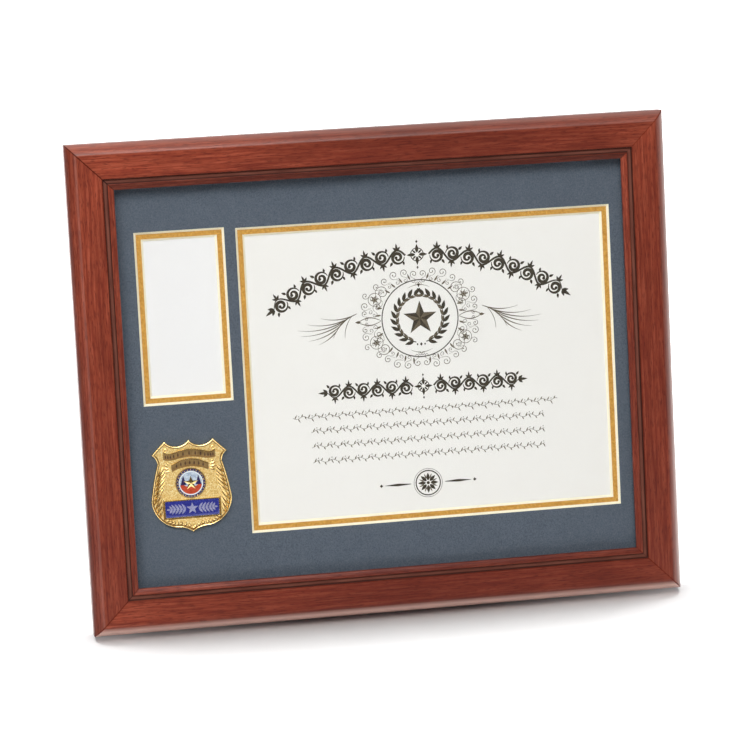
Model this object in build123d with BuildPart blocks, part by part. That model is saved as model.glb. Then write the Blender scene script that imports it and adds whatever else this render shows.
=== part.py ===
from build123d import *
import os
from math import cos, hypot, radians, sin

# Certificate and medal frame: a wooden picture frame on an easel leg, with a double mat behind
# glass, a certificate, a card for a medal and a metal badge.
#
# All sizes are millimetres. The frame leans back on its leg, so a place on it is given by three
# measures: across from the middle, up the face from the bottom edge, and depth back from the
# ridge of the moulding. The origin lies on the table, under the middle of the whole frame.

# Frame and the way it stands
frame_width = 406.4
frame_height = 330.2
lean = 16.0
easel_opening = 28.0

# Section of the moulding, measured in from its outer wall and back from its ridge
moulding_width = 31.0
rabbet_width = 6.4
ridge_inset = 6.8
ridge_radius = 2.5
shoulder_drop = 6.9
shoulder_bulge = 1.0
face_width = 17.0
face_fall = 0.7
groove_width = 3.0
groove_depth = 1.5
bead_width = 1.6
bead_rise = 0.35
slope_start_drop = 1.1
lip_drop = 2.4
lip_radius = 0.6
lip_thickness = 2.0

# Layers held in the rabbet, front to back
glass_thickness = 2.0
spacer_thickness = 3.0
spacer_width = 4.0
mat_thickness = 1.5
paper_thickness = 0.25
tape_thickness = 0.12
filler_thickness = 3.2
back_board_thickness = 3.0
pack_clearance = 0.8

# Windows of the outer mat, with margins measured from the inner edge of the moulding
medal_window_width = 60.6
medal_window_height = 116.6
medal_margin_left = 11.7
medal_margin_top = 29.7
window_gap = 7.5
certificate_margin_right = 8.2
certificate_margin_top = 30.8
certificate_margin_bottom = 30.4
gold_reveal = 3.3
bevel_angle = 45

# Papers behind the windows, and how far they reach behind the inner mat
paper_overlap_side = 5.1
paper_overlap_end = 4.4
tape_length = 20.0
tape_width = 12.0
tape_inset = 15.0

# Badge, hung below the medal window and a little to its left
badge_gap = 24.2
badge_shift = -2.0
badge_width = 54.6
horn_span = 32.6
scallop_depth = 4.0
shoulder_span = 51.2
shoulder_down = 9.0
waist_span = 43.8
waist_down = 15.3
waist_bow = 0.9
belly_down = 40.0
side_bow = 0.5
belly_bow = 4.5
point_span = 22.6
point_rise = 3.7
point_bow = 1.1
badge_plate_thickness = 1.4
rim_width = 1.3
rim_height = 0.7

# Banners of the badge, as arched bands
upper_banner_down = 6.8
upper_banner_height = 5.2
upper_banner_radius = 52.0
upper_banner_margin = 3.9
banner_gap = 1.6
lower_banner_height = 4.4
lower_banner_radius = 24.0
lower_banner_overhang = 2.3
banner_thickness = 0.5

# Seal of the badge, between the banners and the panel
seal_radius = 10.2
seal_gap_above = 1.2
seal_gap_below = 0.65
seal_boss_height = 0.5
seal_wall = 0.5
seal_wall_height = 0.35
enamel_ring_width = 1.35
enamel_band_width = 0.75
enamel_thickness = 0.3
inlay_clearance = 0.05
star_count = 5
star_margin = 2.05
star_inner_ratio = 0.42
star_thickness = 0.3

# Enamel panel of the badge
panel_rise = 9.85
panel_width = 36.2
panel_height = 10.9
panel_border = 0.9
panel_border_height = 0.5
panel_enamel_thickness = 0.35

# Posts and nuts that hold the badge on the mats
post_radius = 1.2
post_spacing = 28.0
post_stickout = 3.0
nut_radius = 3.5
nut_sides = 6
nut_thickness = 2.0
post_play = 0.05
pocket_clearance = 0.8

# Nails in the mitred corners
v_nail_leg = 4.5
v_nail_thickness = 0.6
v_nail_length = 10.0
v_nail_insets = (8.0, 16.5)

# Turn buttons on the back
button_inset = 18.0
button_end_distance = 93.2
button_reach = 15.0
button_width = 8.0
button_thickness = 1.2
button_lift = 0.05
screw_radius = 1.4
screw_length = 12.0
screw_play = 0.05
screw_head_radius = 2.9
screw_head_height = 1.4
screw_slot_width = 0.7
screw_slot_depth = 0.7

# Easel leg
pivot_up = 215.0
leg_top_width = 46.0
leg_foot_width = 84.0
leg_thickness = 2.5
leg_corner_radius = 6.0
leg_board_gap = 0.4
leg_top_gap = 0.8

# Hinge of the easel leg
hinge_width = 44.0
leaf_length = 24.0
leaf_thickness = 0.8
pin_radius = 1.0
pin_play = 0.05
pin_head = 0.6
middle_knuckle_width = 18.0
knuckle_gap = 0.3
rivet_radius = 1.2
rivet_play = 0.05
rivet_head_radius = 2.4
rivet_head_height = 0.8
dome_share = 0.8
rivet_spacing = 28.0
rivet_distance = 15.0

# Ribbon that stops the leg
ribbon_drop = 140.0
ribbon_width = 12.0
ribbon_thickness = 0.4
ribbon_tab = 10.0
eyelet_radius = 1.0
eyelet_head_radius = 2.4
eyelet_head_height = 0.6
eyelet_play = 0.05

# Hanger on the top rail
hanger_length = 46.0
hanger_height = 9.0
hanger_thickness = 0.9
hanger_rise = 1.2
hanger_ear = 9.0
hanger_ramp = 3.0
hanger_inset = 12.0
tooth_pitch = 2.5
tooth_count = 7
tooth_depth = 2.0
nail_radius = 0.7
nail_length = 9.0
nail_head_radius = 1.8
nail_head_height = 0.6
nail_play = 0.05

# Bumpers that keep the frame off a wall
bumper_radius = 5.0
bumper_thickness = 1.8
bumper_draft = 12
bumper_inset = 11.0

# Depths of the layers, each from the one in front of it
glass_front = lip_drop + lip_thickness
glass_back = glass_front + glass_thickness
mat_front = glass_back + spacer_thickness
inner_mat_front = mat_front + mat_thickness
paper_front = inner_mat_front + mat_thickness
paper_back = paper_front + paper_thickness
filler_front = paper_back + tape_thickness
board_front = filler_front + filler_thickness
frame_depth = board_front + back_board_thickness

# Size of the glass, mats and boards
rabbet_wall = moulding_width - rabbet_width
pack_inset = rabbet_wall + pack_clearance
pack_width = frame_width - 2 * pack_inset
pack_height = frame_height - 2 * pack_inset
half_width = frame_width / 2
middle_up = frame_height / 2

# Height of the badge, stacked from its top down
upper_banner_foot = upper_banner_down + upper_banner_height
lower_banner_foot = upper_banner_foot + banner_gap + lower_banner_height
seal_down = lower_banner_foot + seal_gap_above + seal_radius
panel_down = seal_down + seal_radius + seal_gap_below + panel_border + panel_height / 2
badge_height = panel_down + panel_height / 2 + panel_border + panel_rise

# Places of the windows and the badge, worked out from the margins
sight_top = frame_height - moulding_width
medal_left = moulding_width - half_width + medal_margin_left
medal_across = medal_left + medal_window_width / 2
medal_up = sight_top - medal_margin_top - medal_window_height / 2
certificate_left = medal_left + medal_window_width + window_gap
certificate_right = half_width - moulding_width - certificate_margin_right
certificate_bottom = moulding_width + certificate_margin_bottom
certificate_top = sight_top - certificate_margin_top
certificate_across = (certificate_left + certificate_right) / 2
certificate_up = (certificate_bottom + certificate_top) / 2
badge_across = medal_across + badge_shift
badge_top = badge_height / 2
badge_up = medal_up - medal_window_height / 2 - badge_gap - badge_top

# Heights on the badge, measured up from its middle
upper_banner_top = badge_top - upper_banner_down
lower_banner_top = badge_top - upper_banner_foot - banner_gap
seal_up = badge_top - seal_down
panel_up = badge_top - panel_down
upper_banner_span = waist_span - 2 * upper_banner_margin
lower_banner_span = 2 * (seal_radius + lower_banner_overhang)

# Heights of the hinge pin and of the leg's faces, measured out from the back board or the pin
knuckle_radius = pin_radius + leaf_thickness
leg_outer = knuckle_radius - leaf_thickness
leg_inner = leg_outer - leg_thickness
pin_height = max(knuckle_radius, -leg_inner) + leg_board_gap
leg_angle = easel_opening - lean

# Directions of the leaning frame
upward = Vector(0, sin(radians(lean)), cos(radians(lean)))
backward = Vector(0, cos(radians(lean)), -sin(radians(lean)))
sideways = Vector(1, 0, 0)
down_leg = Vector(0, sin(radians(leg_angle)), -cos(radians(leg_angle)))
out_of_leg = Vector(0, cos(radians(leg_angle)), sin(radians(leg_angle)))

# The lower back edge stands on the table, and so does the foot of the leg
pivot_from_edge = upward * pivot_up + backward * pin_height
leg_length = (pivot_from_edge.Z + leg_inner * sin(radians(leg_angle))) / cos(radians(leg_angle))
foot_from_edge = pivot_from_edge + down_leg * leg_length + out_of_leg * leg_outer
edge_from_corner = backward * frame_depth
front_reach = (upward * ridge_inset).Y
back_reach = (edge_from_corner + foot_from_edge).Y
corner = Vector(0, -(front_reach + back_reach) / 2, -edge_from_corner.Z)
pivot = corner + edge_from_corner + pivot_from_edge


def place(across, up, depth):
    """The point at these three measures."""
    return corner + sideways * across + upward * up + backward * depth


def facing_front(depth, across=0, up=0):
    """A plane parallel to the face that looks at the viewer, with y up the face."""
    return Plane(place(across, up, depth), x_dir=sideways, z_dir=backward * -1)


def facing_back(depth, across=0, up=0, x_dir=sideways):
    """A plane parallel to the face that looks to the rear, with y down unless x_dir is turned."""
    return Plane(place(across, up, depth), x_dir=x_dir, z_dir=backward)


def save(piece, name):
    """Label a finished piece and write it."""
    piece.part.label = name
    export_step(piece.part, f"parts/{name}.step")


os.makedirs("parts", exist_ok=True)

# Where things are fixed to the back, as across, up and the direction towards the picture
button_across = half_width - button_end_distance
button_spots = [
    (-button_across, button_inset, upward),
    (button_across, button_inset, upward),
    (-button_across, frame_height - button_inset, upward * -1),
    (button_across, frame_height - button_inset, upward * -1),
    (-half_width + button_inset, middle_up, sideways),
    (half_width - button_inset, middle_up, sideways * -1),
]
hanger_up = frame_height - hanger_inset
hanger_nail_spots = [
    (side * (hanger_length - hanger_ear) / 2, hanger_up) for side in (-1, 1)
]
bumper_spots = [(side * (half_width - bumper_inset), bumper_inset) for side in (-1, 1)]
post_spots = [(badge_across, badge_up + side * post_spacing / 2) for side in (-1, 1)]

# Nails across the mitres, each a folded strip driven in from the back
with BuildPart() as corner_v_nails:
    for side in (-1, 1):
        for up, rise in ((0, 1), (frame_height, -1)):
            for inset in v_nail_insets:
                apex_across = side * (half_width - inset)
                apex_up = up + rise * inset
                with BuildSketch(facing_front(frame_depth)):
                    with BuildLine():
                        Polyline(
                            (apex_across, apex_up - rise * v_nail_leg),
                            (apex_across, apex_up),
                            (apex_across + side * v_nail_leg, apex_up),
                        )
                    trace(line_width=v_nail_thickness)
                extrude(amount=v_nail_length)
save(corner_v_nails, "corner_v_nails")

# Rails of the frame, mitred at both ends, in turn round the face
slope_start = ridge_inset + face_width + groove_width
groove_floor = face_fall + groove_depth
rails = [
    ("bottom_rail", place(half_width, 0, 0), upward, frame_width),
    ("left_rail", place(-half_width, 0, 0), sideways, frame_height),
    ("top_rail", place(-half_width, frame_height, 0), upward * -1, frame_width),
    ("right_rail", place(half_width, frame_height, 0), sideways * -1, frame_height),
]
for rail_name, start, inward, length in rails:
    along = inward.cross(backward)
    with BuildPart() as rail:
        with BuildSketch(Plane(start, x_dir=inward, z_dir=along)) as section:
            with BuildLine():
                Polyline(
                    (ridge_inset, 0),
                    (ridge_inset + face_width, face_fall),
                    (ridge_inset + face_width, groove_floor),
                    (slope_start, groove_floor),
                    (slope_start, slope_start_drop),
                )
                ThreePointArc(
                    (slope_start, slope_start_drop),
                    (slope_start + bead_width / 2, slope_start_drop - bead_rise),
                    (slope_start + bead_width, slope_start_drop + bead_rise),
                )
                Polyline(
                    (slope_start + bead_width, slope_start_drop + bead_rise),
                    (moulding_width, lip_drop),
                    (moulding_width, glass_front),
                    (rabbet_wall, glass_front),
                    (rabbet_wall, frame_depth),
                    (0, frame_depth),
                    (0, shoulder_drop),
                )
                SagittaArc((0, shoulder_drop), (ridge_inset, 0), -shoulder_bulge)
            make_face()
            fillet(section.vertices().sort_by_distance((ridge_inset, 0))[0], ridge_radius)
            fillet(section.vertices().sort_by_distance((moulding_width, lip_drop))[0], lip_radius)
        extrude(amount=length)
        split(bisect_by=Plane(start, z_dir=along - inward), keep=Keep.TOP)
        split(bisect_by=Plane(start + along * length, z_dir=(along + inward) * -1), keep=Keep.TOP)
        add(corner_v_nails.part, mode=Mode.SUBTRACT)
        for across, up, direction in button_spots:
            with BuildSketch(facing_back(frame_depth, across, up)):
                Circle(screw_radius + screw_play)
            extrude(amount=-screw_length, mode=Mode.SUBTRACT)
        for across, up in hanger_nail_spots:
            with BuildSketch(facing_back(frame_depth, across, up)):
                Circle(nail_radius + nail_play)
            extrude(amount=-nail_length, mode=Mode.SUBTRACT)
    save(rail, rail_name)

# Glass and the strips that hold it off the mat
with BuildPart() as glass_pane:
    with BuildSketch(facing_back(glass_front, 0, middle_up)):
        Rectangle(pack_width, pack_height)
    extrude(amount=glass_thickness)
save(glass_pane, "glass_pane")

side_spacer_length = pack_height - 2 * spacer_width
spacers = [
    ("spacer_top", 0, pack_inset + pack_height - spacer_width / 2, pack_width, spacer_width),
    ("spacer_bottom", 0, pack_inset + spacer_width / 2, pack_width, spacer_width),
    ("spacer_left", (spacer_width - pack_width) / 2, middle_up, spacer_width, side_spacer_length),
    ("spacer_right", (pack_width - spacer_width) / 2, middle_up, spacer_width, side_spacer_length),
]
for spacer_name, across, up, width, height in spacers:
    with BuildPart() as spacer:
        with BuildSketch(facing_back(glass_back, across, up)):
            Rectangle(width, height)
        extrude(amount=spacer_thickness)
    save(spacer, spacer_name)

# Mats, with windows cut at a slope so that their cores show
certificate_width = certificate_right - certificate_left
certificate_height = certificate_top - certificate_bottom
windows = [
    ("certificate", certificate_across, certificate_up, certificate_width, certificate_height),
    ("medal_card", medal_across, medal_up, medal_window_width, medal_window_height),
]
inner_shrink = 2 * (mat_thickness + gold_reveal)
mats = [("outer_mat", mat_front, 0), ("inner_mat", inner_mat_front, inner_shrink)]
for mat_name, depth, shrink in mats:
    with BuildPart() as mat:
        with BuildSketch(facing_back(depth, 0, middle_up)):
            Rectangle(pack_width, pack_height)
        extrude(amount=mat_thickness)
        for _, across, up, width, height in windows:
            with BuildSketch(facing_back(depth, across, up)):
                Rectangle(width - shrink, height - shrink)
            extrude(amount=mat_thickness, taper=bevel_angle, mode=Mode.SUBTRACT)
        for across, up in post_spots:
            with BuildSketch(facing_back(depth, across, up)):
                Circle(post_radius + post_play)
            extrude(amount=mat_thickness, mode=Mode.SUBTRACT)
    save(mat, mat_name)

# Papers behind the windows and the tape along their upper edges
backing_shrink = inner_shrink + 2 * mat_thickness
for paper_name, across, up, width, height in windows:
    with BuildPart() as paper:
        with BuildSketch(facing_back(paper_front, across, up)):
            Rectangle(
                width - backing_shrink + 2 * paper_overlap_side,
                height - backing_shrink + 2 * paper_overlap_end,
            )
        extrude(amount=paper_thickness)
    save(paper, paper_name)

with BuildPart() as mounting_tape:
    for _, across, up, width, height in windows:
        paper_top = up + (height - backing_shrink) / 2 + paper_overlap_end
        tape_reach = (width - backing_shrink) / 2 + paper_overlap_side - tape_inset
        for side in (-1, 1):
            with BuildSketch(facing_back(paper_back, across + side * tape_reach, paper_top)):
                Rectangle(tape_length, tape_width)
            extrude(amount=tape_thickness)
save(mounting_tape, "mounting_tape")

# Filler with pockets for the nuts behind the badge, and the back board
with BuildPart() as filler_board:
    with BuildSketch(facing_back(filler_front, 0, middle_up)):
        Rectangle(pack_width, pack_height)
    extrude(amount=filler_thickness)
    for across, up in post_spots:
        with BuildSketch(facing_back(filler_front, across, up)):
            Circle(nut_radius + pocket_clearance)
        extrude(amount=filler_thickness, mode=Mode.SUBTRACT)
save(filler_board, "filler_board")

rivet_up = pivot_up + rivet_distance
board_rivet_spots = [(side * rivet_spacing / 2, rivet_up) for side in (-1, 1)]
eyelet_up = pivot_up - ribbon_drop + ribbon_tab / 2
with BuildPart() as back_board:
    with BuildSketch(facing_back(board_front, 0, middle_up)):
        Rectangle(pack_width, pack_height)
    extrude(amount=back_board_thickness)
    for across, up in board_rivet_spots:
        with BuildSketch(facing_back(board_front, across, up)):
            Circle(rivet_radius + rivet_play)
        extrude(amount=back_board_thickness, mode=Mode.SUBTRACT)
    with BuildSketch(facing_back(board_front, 0, eyelet_up)):
        Circle(eyelet_radius + eyelet_play)
    extrude(amount=back_board_thickness, mode=Mode.SUBTRACT)
save(back_board, "back_board")

# Outline of the badge: three horns with hollows between, a narrow waist and a pointed foot
with BuildSketch() as badge_outline:
    with BuildLine():
        SagittaArc((0, badge_top), (horn_span / 2, badge_top), -scallop_depth)
        Line((horn_span / 2, badge_top), (shoulder_span / 2, badge_top - shoulder_down))
        SagittaArc(
            (shoulder_span / 2, badge_top - shoulder_down),
            (waist_span / 2, badge_top - waist_down),
            -waist_bow,
        )
        SagittaArc(
            (waist_span / 2, badge_top - waist_down),
            (badge_width / 2, badge_top - belly_down),
            side_bow,
        )
        SagittaArc(
            (badge_width / 2, badge_top - belly_down),
            (point_span / 2, point_rise - badge_top),
            belly_bow,
        )
        SagittaArc((point_span / 2, point_rise - badge_top), (0, -badge_top), -point_bow)
        mirror(about=Plane.YZ)
    make_face()

# Plate of the badge with its rim, the boss under the seal and the border of the panel
badge_back = mat_front
field_front = badge_back - badge_plate_thickness
seal_front = field_front - seal_boss_height
with BuildPart() as badge_shield:
    with BuildSketch(facing_front(badge_back, badge_across, badge_up)):
        add(badge_outline.sketch)
    extrude(amount=badge_plate_thickness)
    with BuildSketch(facing_front(field_front, badge_across, badge_up)):
        add(badge_outline.sketch)
        offset(amount=-rim_width, kind=Kind.INTERSECTION, mode=Mode.SUBTRACT)
    extrude(amount=rim_height)
    with BuildSketch(facing_front(field_front, badge_across, badge_up + seal_up)):
        Circle(seal_radius)
    extrude(amount=seal_boss_height)
    with BuildSketch(facing_front(seal_front, badge_across, badge_up + seal_up)):
        Circle(seal_radius)
        Circle(seal_radius - seal_wall, mode=Mode.SUBTRACT)
    extrude(amount=seal_wall_height)
    with BuildSketch(facing_front(field_front, badge_across, badge_up + panel_up)):
        Rectangle(panel_width + 2 * panel_border, panel_height + 2 * panel_border)
        Rectangle(panel_width, panel_height, mode=Mode.SUBTRACT)
    extrude(amount=panel_border_height)
save(badge_shield, "badge_shield")

# Banners, each a band between two arcs about one centre, with ends cut towards it
banners = [
    (
        "badge_upper_banner",
        upper_banner_top,
        upper_banner_radius,
        upper_banner_span,
        upper_banner_height,
    ),
    (
        "badge_lower_banner",
        lower_banner_top,
        lower_banner_radius,
        lower_banner_span,
        lower_banner_height,
    ),
]
for banner_name, top, radius, span, height in banners:
    with BuildPart() as banner:
        with BuildSketch(facing_front(field_front, badge_across, badge_up + top - radius)):
            Circle(radius)
            Circle(radius - height, mode=Mode.SUBTRACT)
            Rectangle(span, radius, align=(Align.CENTER, Align.MIN), mode=Mode.INTERSECT)
        extrude(amount=banner_thickness)
        with BuildSketch(facing_front(field_front, badge_across, badge_up + seal_up)):
            Circle(seal_radius + inlay_clearance)
        extrude(amount=banner_thickness, mode=Mode.SUBTRACT)
    save(banner, banner_name)

# Enamels of the seal, laid inside its wall: a ring, a pale band and a field with a star
ring_outer = seal_radius - seal_wall - inlay_clearance
band_outer = ring_outer - enamel_ring_width - inlay_clearance
field_outer = band_outer - enamel_band_width - inlay_clearance
seal_plane = facing_front(seal_front, badge_across, badge_up + seal_up)
enamels = [
    ("badge_seal_ring", ring_outer, enamel_ring_width),
    ("badge_seal_band", band_outer, enamel_band_width),
]
for enamel_name, outer, width in enamels:
    with BuildPart() as enamel:
        with BuildSketch(seal_plane):
            Circle(outer)
            Circle(outer - width, mode=Mode.SUBTRACT)
        extrude(amount=enamel_thickness)
    save(enamel, enamel_name)

with BuildPart() as badge_seal_field:
    with BuildSketch(seal_plane):
        Circle(field_outer)
    extrude(amount=enamel_thickness)
save(badge_seal_field, "badge_seal_field")

star_radius = field_outer - star_margin
point_angle = 360 / star_count
star_points = []
for number in range(star_count):
    point = Vector(0, star_radius).rotate(Axis.Z, number * point_angle)
    hollow = Vector(0, star_radius * star_inner_ratio).rotate(Axis.Z, (number + 0.5) * point_angle)
    star_points += [point, hollow]
with BuildPart() as badge_seal_star:
    with BuildSketch(seal_plane.offset(enamel_thickness)):
        with BuildLine():
            Polyline(*star_points, close=True)
        make_face()
    extrude(amount=star_thickness)
save(badge_seal_star, "badge_seal_star")

with BuildPart() as badge_panel:
    with BuildSketch(facing_front(field_front, badge_across, badge_up + panel_up)):
        Rectangle(panel_width - 2 * inlay_clearance, panel_height - 2 * inlay_clearance)
    extrude(amount=panel_enamel_thickness)
save(badge_panel, "badge_panel")

# Posts through both mats and the nuts that clamp them
post_length = 2 * mat_thickness + post_stickout
with BuildPart() as badge_posts:
    for across, up in post_spots:
        with BuildSketch(facing_back(badge_back, across, up)):
            Circle(post_radius)
        extrude(amount=post_length)
save(badge_posts, "badge_posts")

with BuildPart() as badge_post_nuts:
    for across, up in post_spots:
        with BuildSketch(facing_back(paper_front, across, up)):
            RegularPolygon(nut_radius, nut_sides)
            Circle(post_radius + post_play, mode=Mode.SUBTRACT)
        extrude(amount=nut_thickness)
save(badge_post_nuts, "badge_post_nuts")

# Turn buttons, round at both ends, and their slotted screws
slot_length = button_reach + button_width / 2
button_depth = frame_depth + button_lift
for number, (across, up, direction) in enumerate(button_spots, start=1):
    with BuildPart() as turn_button:
        with BuildSketch(facing_back(button_depth, across, up, x_dir=direction)):
            with Locations(((button_reach - button_width / 2) / 2, 0)):
                SlotOverall(slot_length, button_width)
            Circle(screw_radius + screw_play, mode=Mode.SUBTRACT)
        extrude(amount=button_thickness)
    save(turn_button, f"turn_button_{number}")

head_depth = button_depth + button_thickness
with BuildPart() as turn_button_screws:
    for across, up, direction in button_spots:
        with BuildSketch(facing_back(head_depth, across, up)):
            Circle(screw_radius)
        extrude(amount=-(screw_length + button_thickness + button_lift))
        with BuildSketch(facing_back(head_depth, across, up)):
            Circle(screw_head_radius)
        extrude(amount=screw_head_height)
        with BuildSketch(facing_back(head_depth + screw_head_height, across, up)):
            Rectangle(2 * screw_head_radius, screw_slot_width)
        extrude(amount=-screw_slot_depth, mode=Mode.SUBTRACT)
save(turn_button_screws, "turn_button_screws")

# Hanger with raised teeth between two flat ears, nailed to the top rail
half_hanger = hanger_length / 2
ramp_foot = half_hanger - hanger_ear
ramp_head = ramp_foot - hanger_ramp
ear_middle = hanger_thickness / 2
raised_middle = hanger_rise + hanger_thickness / 2
tooth_side = hypot(tooth_pitch / 2, tooth_depth)
with BuildPart() as sawtooth_hanger:
    hanger_edge = place(0, hanger_up - hanger_height / 2, frame_depth)
    with BuildSketch(Plane(hanger_edge, x_dir=sideways, z_dir=upward)):
        with BuildLine():
            Polyline(
                (-half_hanger, ear_middle),
                (-ramp_foot, ear_middle),
                (-ramp_head, raised_middle),
                (ramp_head, raised_middle),
                (ramp_foot, ear_middle),
                (half_hanger, ear_middle),
            )
        trace(line_width=hanger_thickness)
    extrude(amount=hanger_height)
    with BuildSketch(facing_front(frame_depth, 0, hanger_up - hanger_height / 2)):
        with GridLocations(tooth_pitch, 1, tooth_count, 1):
            Triangle(a=tooth_pitch, b=tooth_side, c=tooth_side, align=(Align.CENTER, Align.MIN))
    extrude(amount=-(hanger_rise + hanger_thickness), mode=Mode.SUBTRACT)
    for across, up in hanger_nail_spots:
        with BuildSketch(facing_back(frame_depth, across, up)):
            Circle(nail_radius + nail_play)
        extrude(amount=hanger_thickness, mode=Mode.SUBTRACT)
save(sawtooth_hanger, "sawtooth_hanger")

with BuildPart() as hanger_nails:
    for across, up in hanger_nail_spots:
        with BuildSketch(facing_back(frame_depth + hanger_thickness, across, up)):
            Circle(nail_radius)
        extrude(amount=-(nail_length + hanger_thickness))
        with BuildSketch(facing_back(frame_depth + hanger_thickness, across, up)):
            Circle(nail_head_radius)
        extrude(amount=nail_head_height)
save(hanger_nails, "hanger_nails")

with BuildPart() as wall_bumpers:
    for across, up in bumper_spots:
        with BuildSketch(facing_back(frame_depth, across, up)):
            Circle(bumper_radius)
        extrude(amount=bumper_thickness, taper=bumper_draft)
save(wall_bumpers, "wall_bumpers")

# Hinge leaf on the back board: two outer knuckles on a plate, with room for the middle one
board_side = Plane(pivot, x_dir=upward * -1, z_dir=sideways)
leg_side = Plane(pivot, x_dir=down_leg, z_dir=sideways)
knuckle_room = knuckle_radius + knuckle_gap
middle_room = middle_knuckle_width / 2 + knuckle_gap
with BuildPart() as hinge_board_leaf:
    with BuildSketch(board_side):
        with Locations((0, -pin_height)):
            Rectangle(leaf_length, leaf_thickness, align=(Align.MAX, Align.MIN))
            Rectangle(knuckle_radius, pin_height, align=(Align.MAX, Align.MIN))
        Circle(knuckle_radius)
    extrude(amount=hinge_width / 2, both=True)
    with BuildSketch(board_side):
        Rectangle(2 * knuckle_room, 2 * (pin_height + leaf_thickness))
    extrude(amount=middle_room, both=True, mode=Mode.SUBTRACT)
    with BuildSketch(board_side):
        Circle(pin_radius + pin_play)
    extrude(amount=hinge_width / 2, both=True, mode=Mode.SUBTRACT)
    for across, up in board_rivet_spots:
        with BuildSketch(facing_back(frame_depth, across, up)):
            Circle(rivet_radius + rivet_play)
        extrude(amount=leaf_thickness, mode=Mode.SUBTRACT)
save(hinge_board_leaf, "hinge_board_leaf")

# Hinge leaf on the leg, with the middle knuckle
leaf_start = knuckle_room
leg_rivet_spots = [(side * rivet_spacing / 2, rivet_distance) for side in (-1, 1)]
leg_face = Plane(pivot, x_dir=sideways, z_dir=out_of_leg)
with BuildPart() as hinge_leg_leaf:
    with BuildSketch(leg_side):
        with Locations((leaf_start, leg_outer)):
            Rectangle(leaf_length - leaf_start, leaf_thickness, align=(Align.MIN, Align.MIN))
    extrude(amount=hinge_width / 2, both=True)
    with BuildSketch(leg_side):
        Circle(knuckle_radius)
        with Locations((0, leg_outer)):
            Rectangle(leaf_start, leaf_thickness, align=(Align.MIN, Align.MIN))
        Circle(pin_radius + pin_play, mode=Mode.SUBTRACT)
    extrude(amount=middle_knuckle_width / 2, both=True)
    with BuildSketch(leg_face.offset(leg_outer)):
        with Locations(*leg_rivet_spots):
            Circle(rivet_radius + rivet_play)
    extrude(amount=leaf_thickness, mode=Mode.SUBTRACT)
save(hinge_leg_leaf, "hinge_leg_leaf")

with BuildPart() as hinge_pin:
    with BuildSketch(board_side):
        Circle(pin_radius)
    extrude(amount=hinge_width / 2 + pin_head, both=True)
    chamfer(hinge_pin.edges().filter_by(GeomType.CIRCLE), pin_head / 2)
save(hinge_pin, "hinge_pin")

# Easel leg: a board that widens to its foot
leg_top = knuckle_room + leg_top_gap
with BuildPart() as easel_leg:
    with BuildSketch(leg_face.offset(leg_inner)) as leg_outline:
        with BuildLine():
            Polyline(
                (-leg_top_width / 2, leg_top),
                (leg_top_width / 2, leg_top),
                (leg_foot_width / 2, leg_length),
                (-leg_foot_width / 2, leg_length),
                close=True,
            )
        make_face()
        fillet(leg_outline.vertices().group_by(Axis.Y)[-1], leg_corner_radius)
        with Locations(*leg_rivet_spots):
            Circle(rivet_radius + rivet_play, mode=Mode.SUBTRACT)
        with Locations((0, ribbon_drop - ribbon_tab / 2)):
            Circle(eyelet_radius + eyelet_play, mode=Mode.SUBTRACT)
    extrude(amount=leg_thickness)
save(easel_leg, "easel_leg")

# Rivets of both leaves, with domed heads to the rear
with BuildPart() as hinge_board_rivets:
    for across, up in board_rivet_spots:
        with BuildSketch(facing_back(frame_depth + leaf_thickness, across, up)):
            Circle(rivet_radius)
        extrude(amount=-(leaf_thickness + back_board_thickness))
        with BuildSketch(facing_back(frame_depth + leaf_thickness, across, up)):
            Circle(rivet_head_radius)
        extrude(amount=rivet_head_height)
    heads = hinge_board_rivets.faces().sort_by(Axis((0, 0, 0), backward))[-len(board_rivet_spots) :]
    fillet(heads.edges(), rivet_head_height * dome_share)
save(hinge_board_rivets, "hinge_board_rivets")

with BuildPart() as hinge_leg_rivets:
    with BuildSketch(leg_face.offset(leg_inner)):
        with Locations(*leg_rivet_spots):
            Circle(rivet_radius)
    extrude(amount=leg_thickness + leaf_thickness)
    with BuildSketch(leg_face.offset(knuckle_radius)):
        with Locations(*leg_rivet_spots):
            Circle(rivet_head_radius)
    extrude(amount=rivet_head_height)
    heads = hinge_leg_rivets.faces().sort_by(Axis((0, 0, 0), out_of_leg))[-len(leg_rivet_spots) :]
    fillet(heads.edges(), rivet_head_height * dome_share)
save(hinge_leg_rivets, "hinge_leg_rivets")

# Ribbon drawn tight from the board to the leg, with a tab on each held by an eyelet
board_line = ribbon_thickness / 2 - pin_height
leg_line = leg_inner - ribbon_thickness / 2
ribbon_points = [
    Vector(ribbon_drop - ribbon_tab, board_line),
    Vector(ribbon_drop, board_line),
    board_side.to_local_coords(leg_side.from_local_coords(Vector(ribbon_drop, leg_line))),
    board_side.to_local_coords(leg_side.from_local_coords(Vector(ribbon_drop - ribbon_tab, leg_line))),
]
board_eyelet_plane = facing_back(frame_depth, 0, eyelet_up)
leg_eyelet_plane = Plane(
    leg_face.from_local_coords(Vector(0, ribbon_drop - ribbon_tab / 2, leg_inner)),
    x_dir=sideways,
    z_dir=out_of_leg * -1,
)
with BuildPart() as easel_ribbon:
    with BuildSketch(board_side):
        with BuildLine():
            Polyline(*ribbon_points)
        trace(line_width=ribbon_thickness)
    extrude(amount=ribbon_width / 2, both=True)
    for eyelet_plane in (board_eyelet_plane, leg_eyelet_plane):
        with BuildSketch(eyelet_plane):
            Circle(eyelet_radius + eyelet_play)
        extrude(amount=ribbon_thickness, mode=Mode.SUBTRACT)
save(easel_ribbon, "easel_ribbon")

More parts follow.
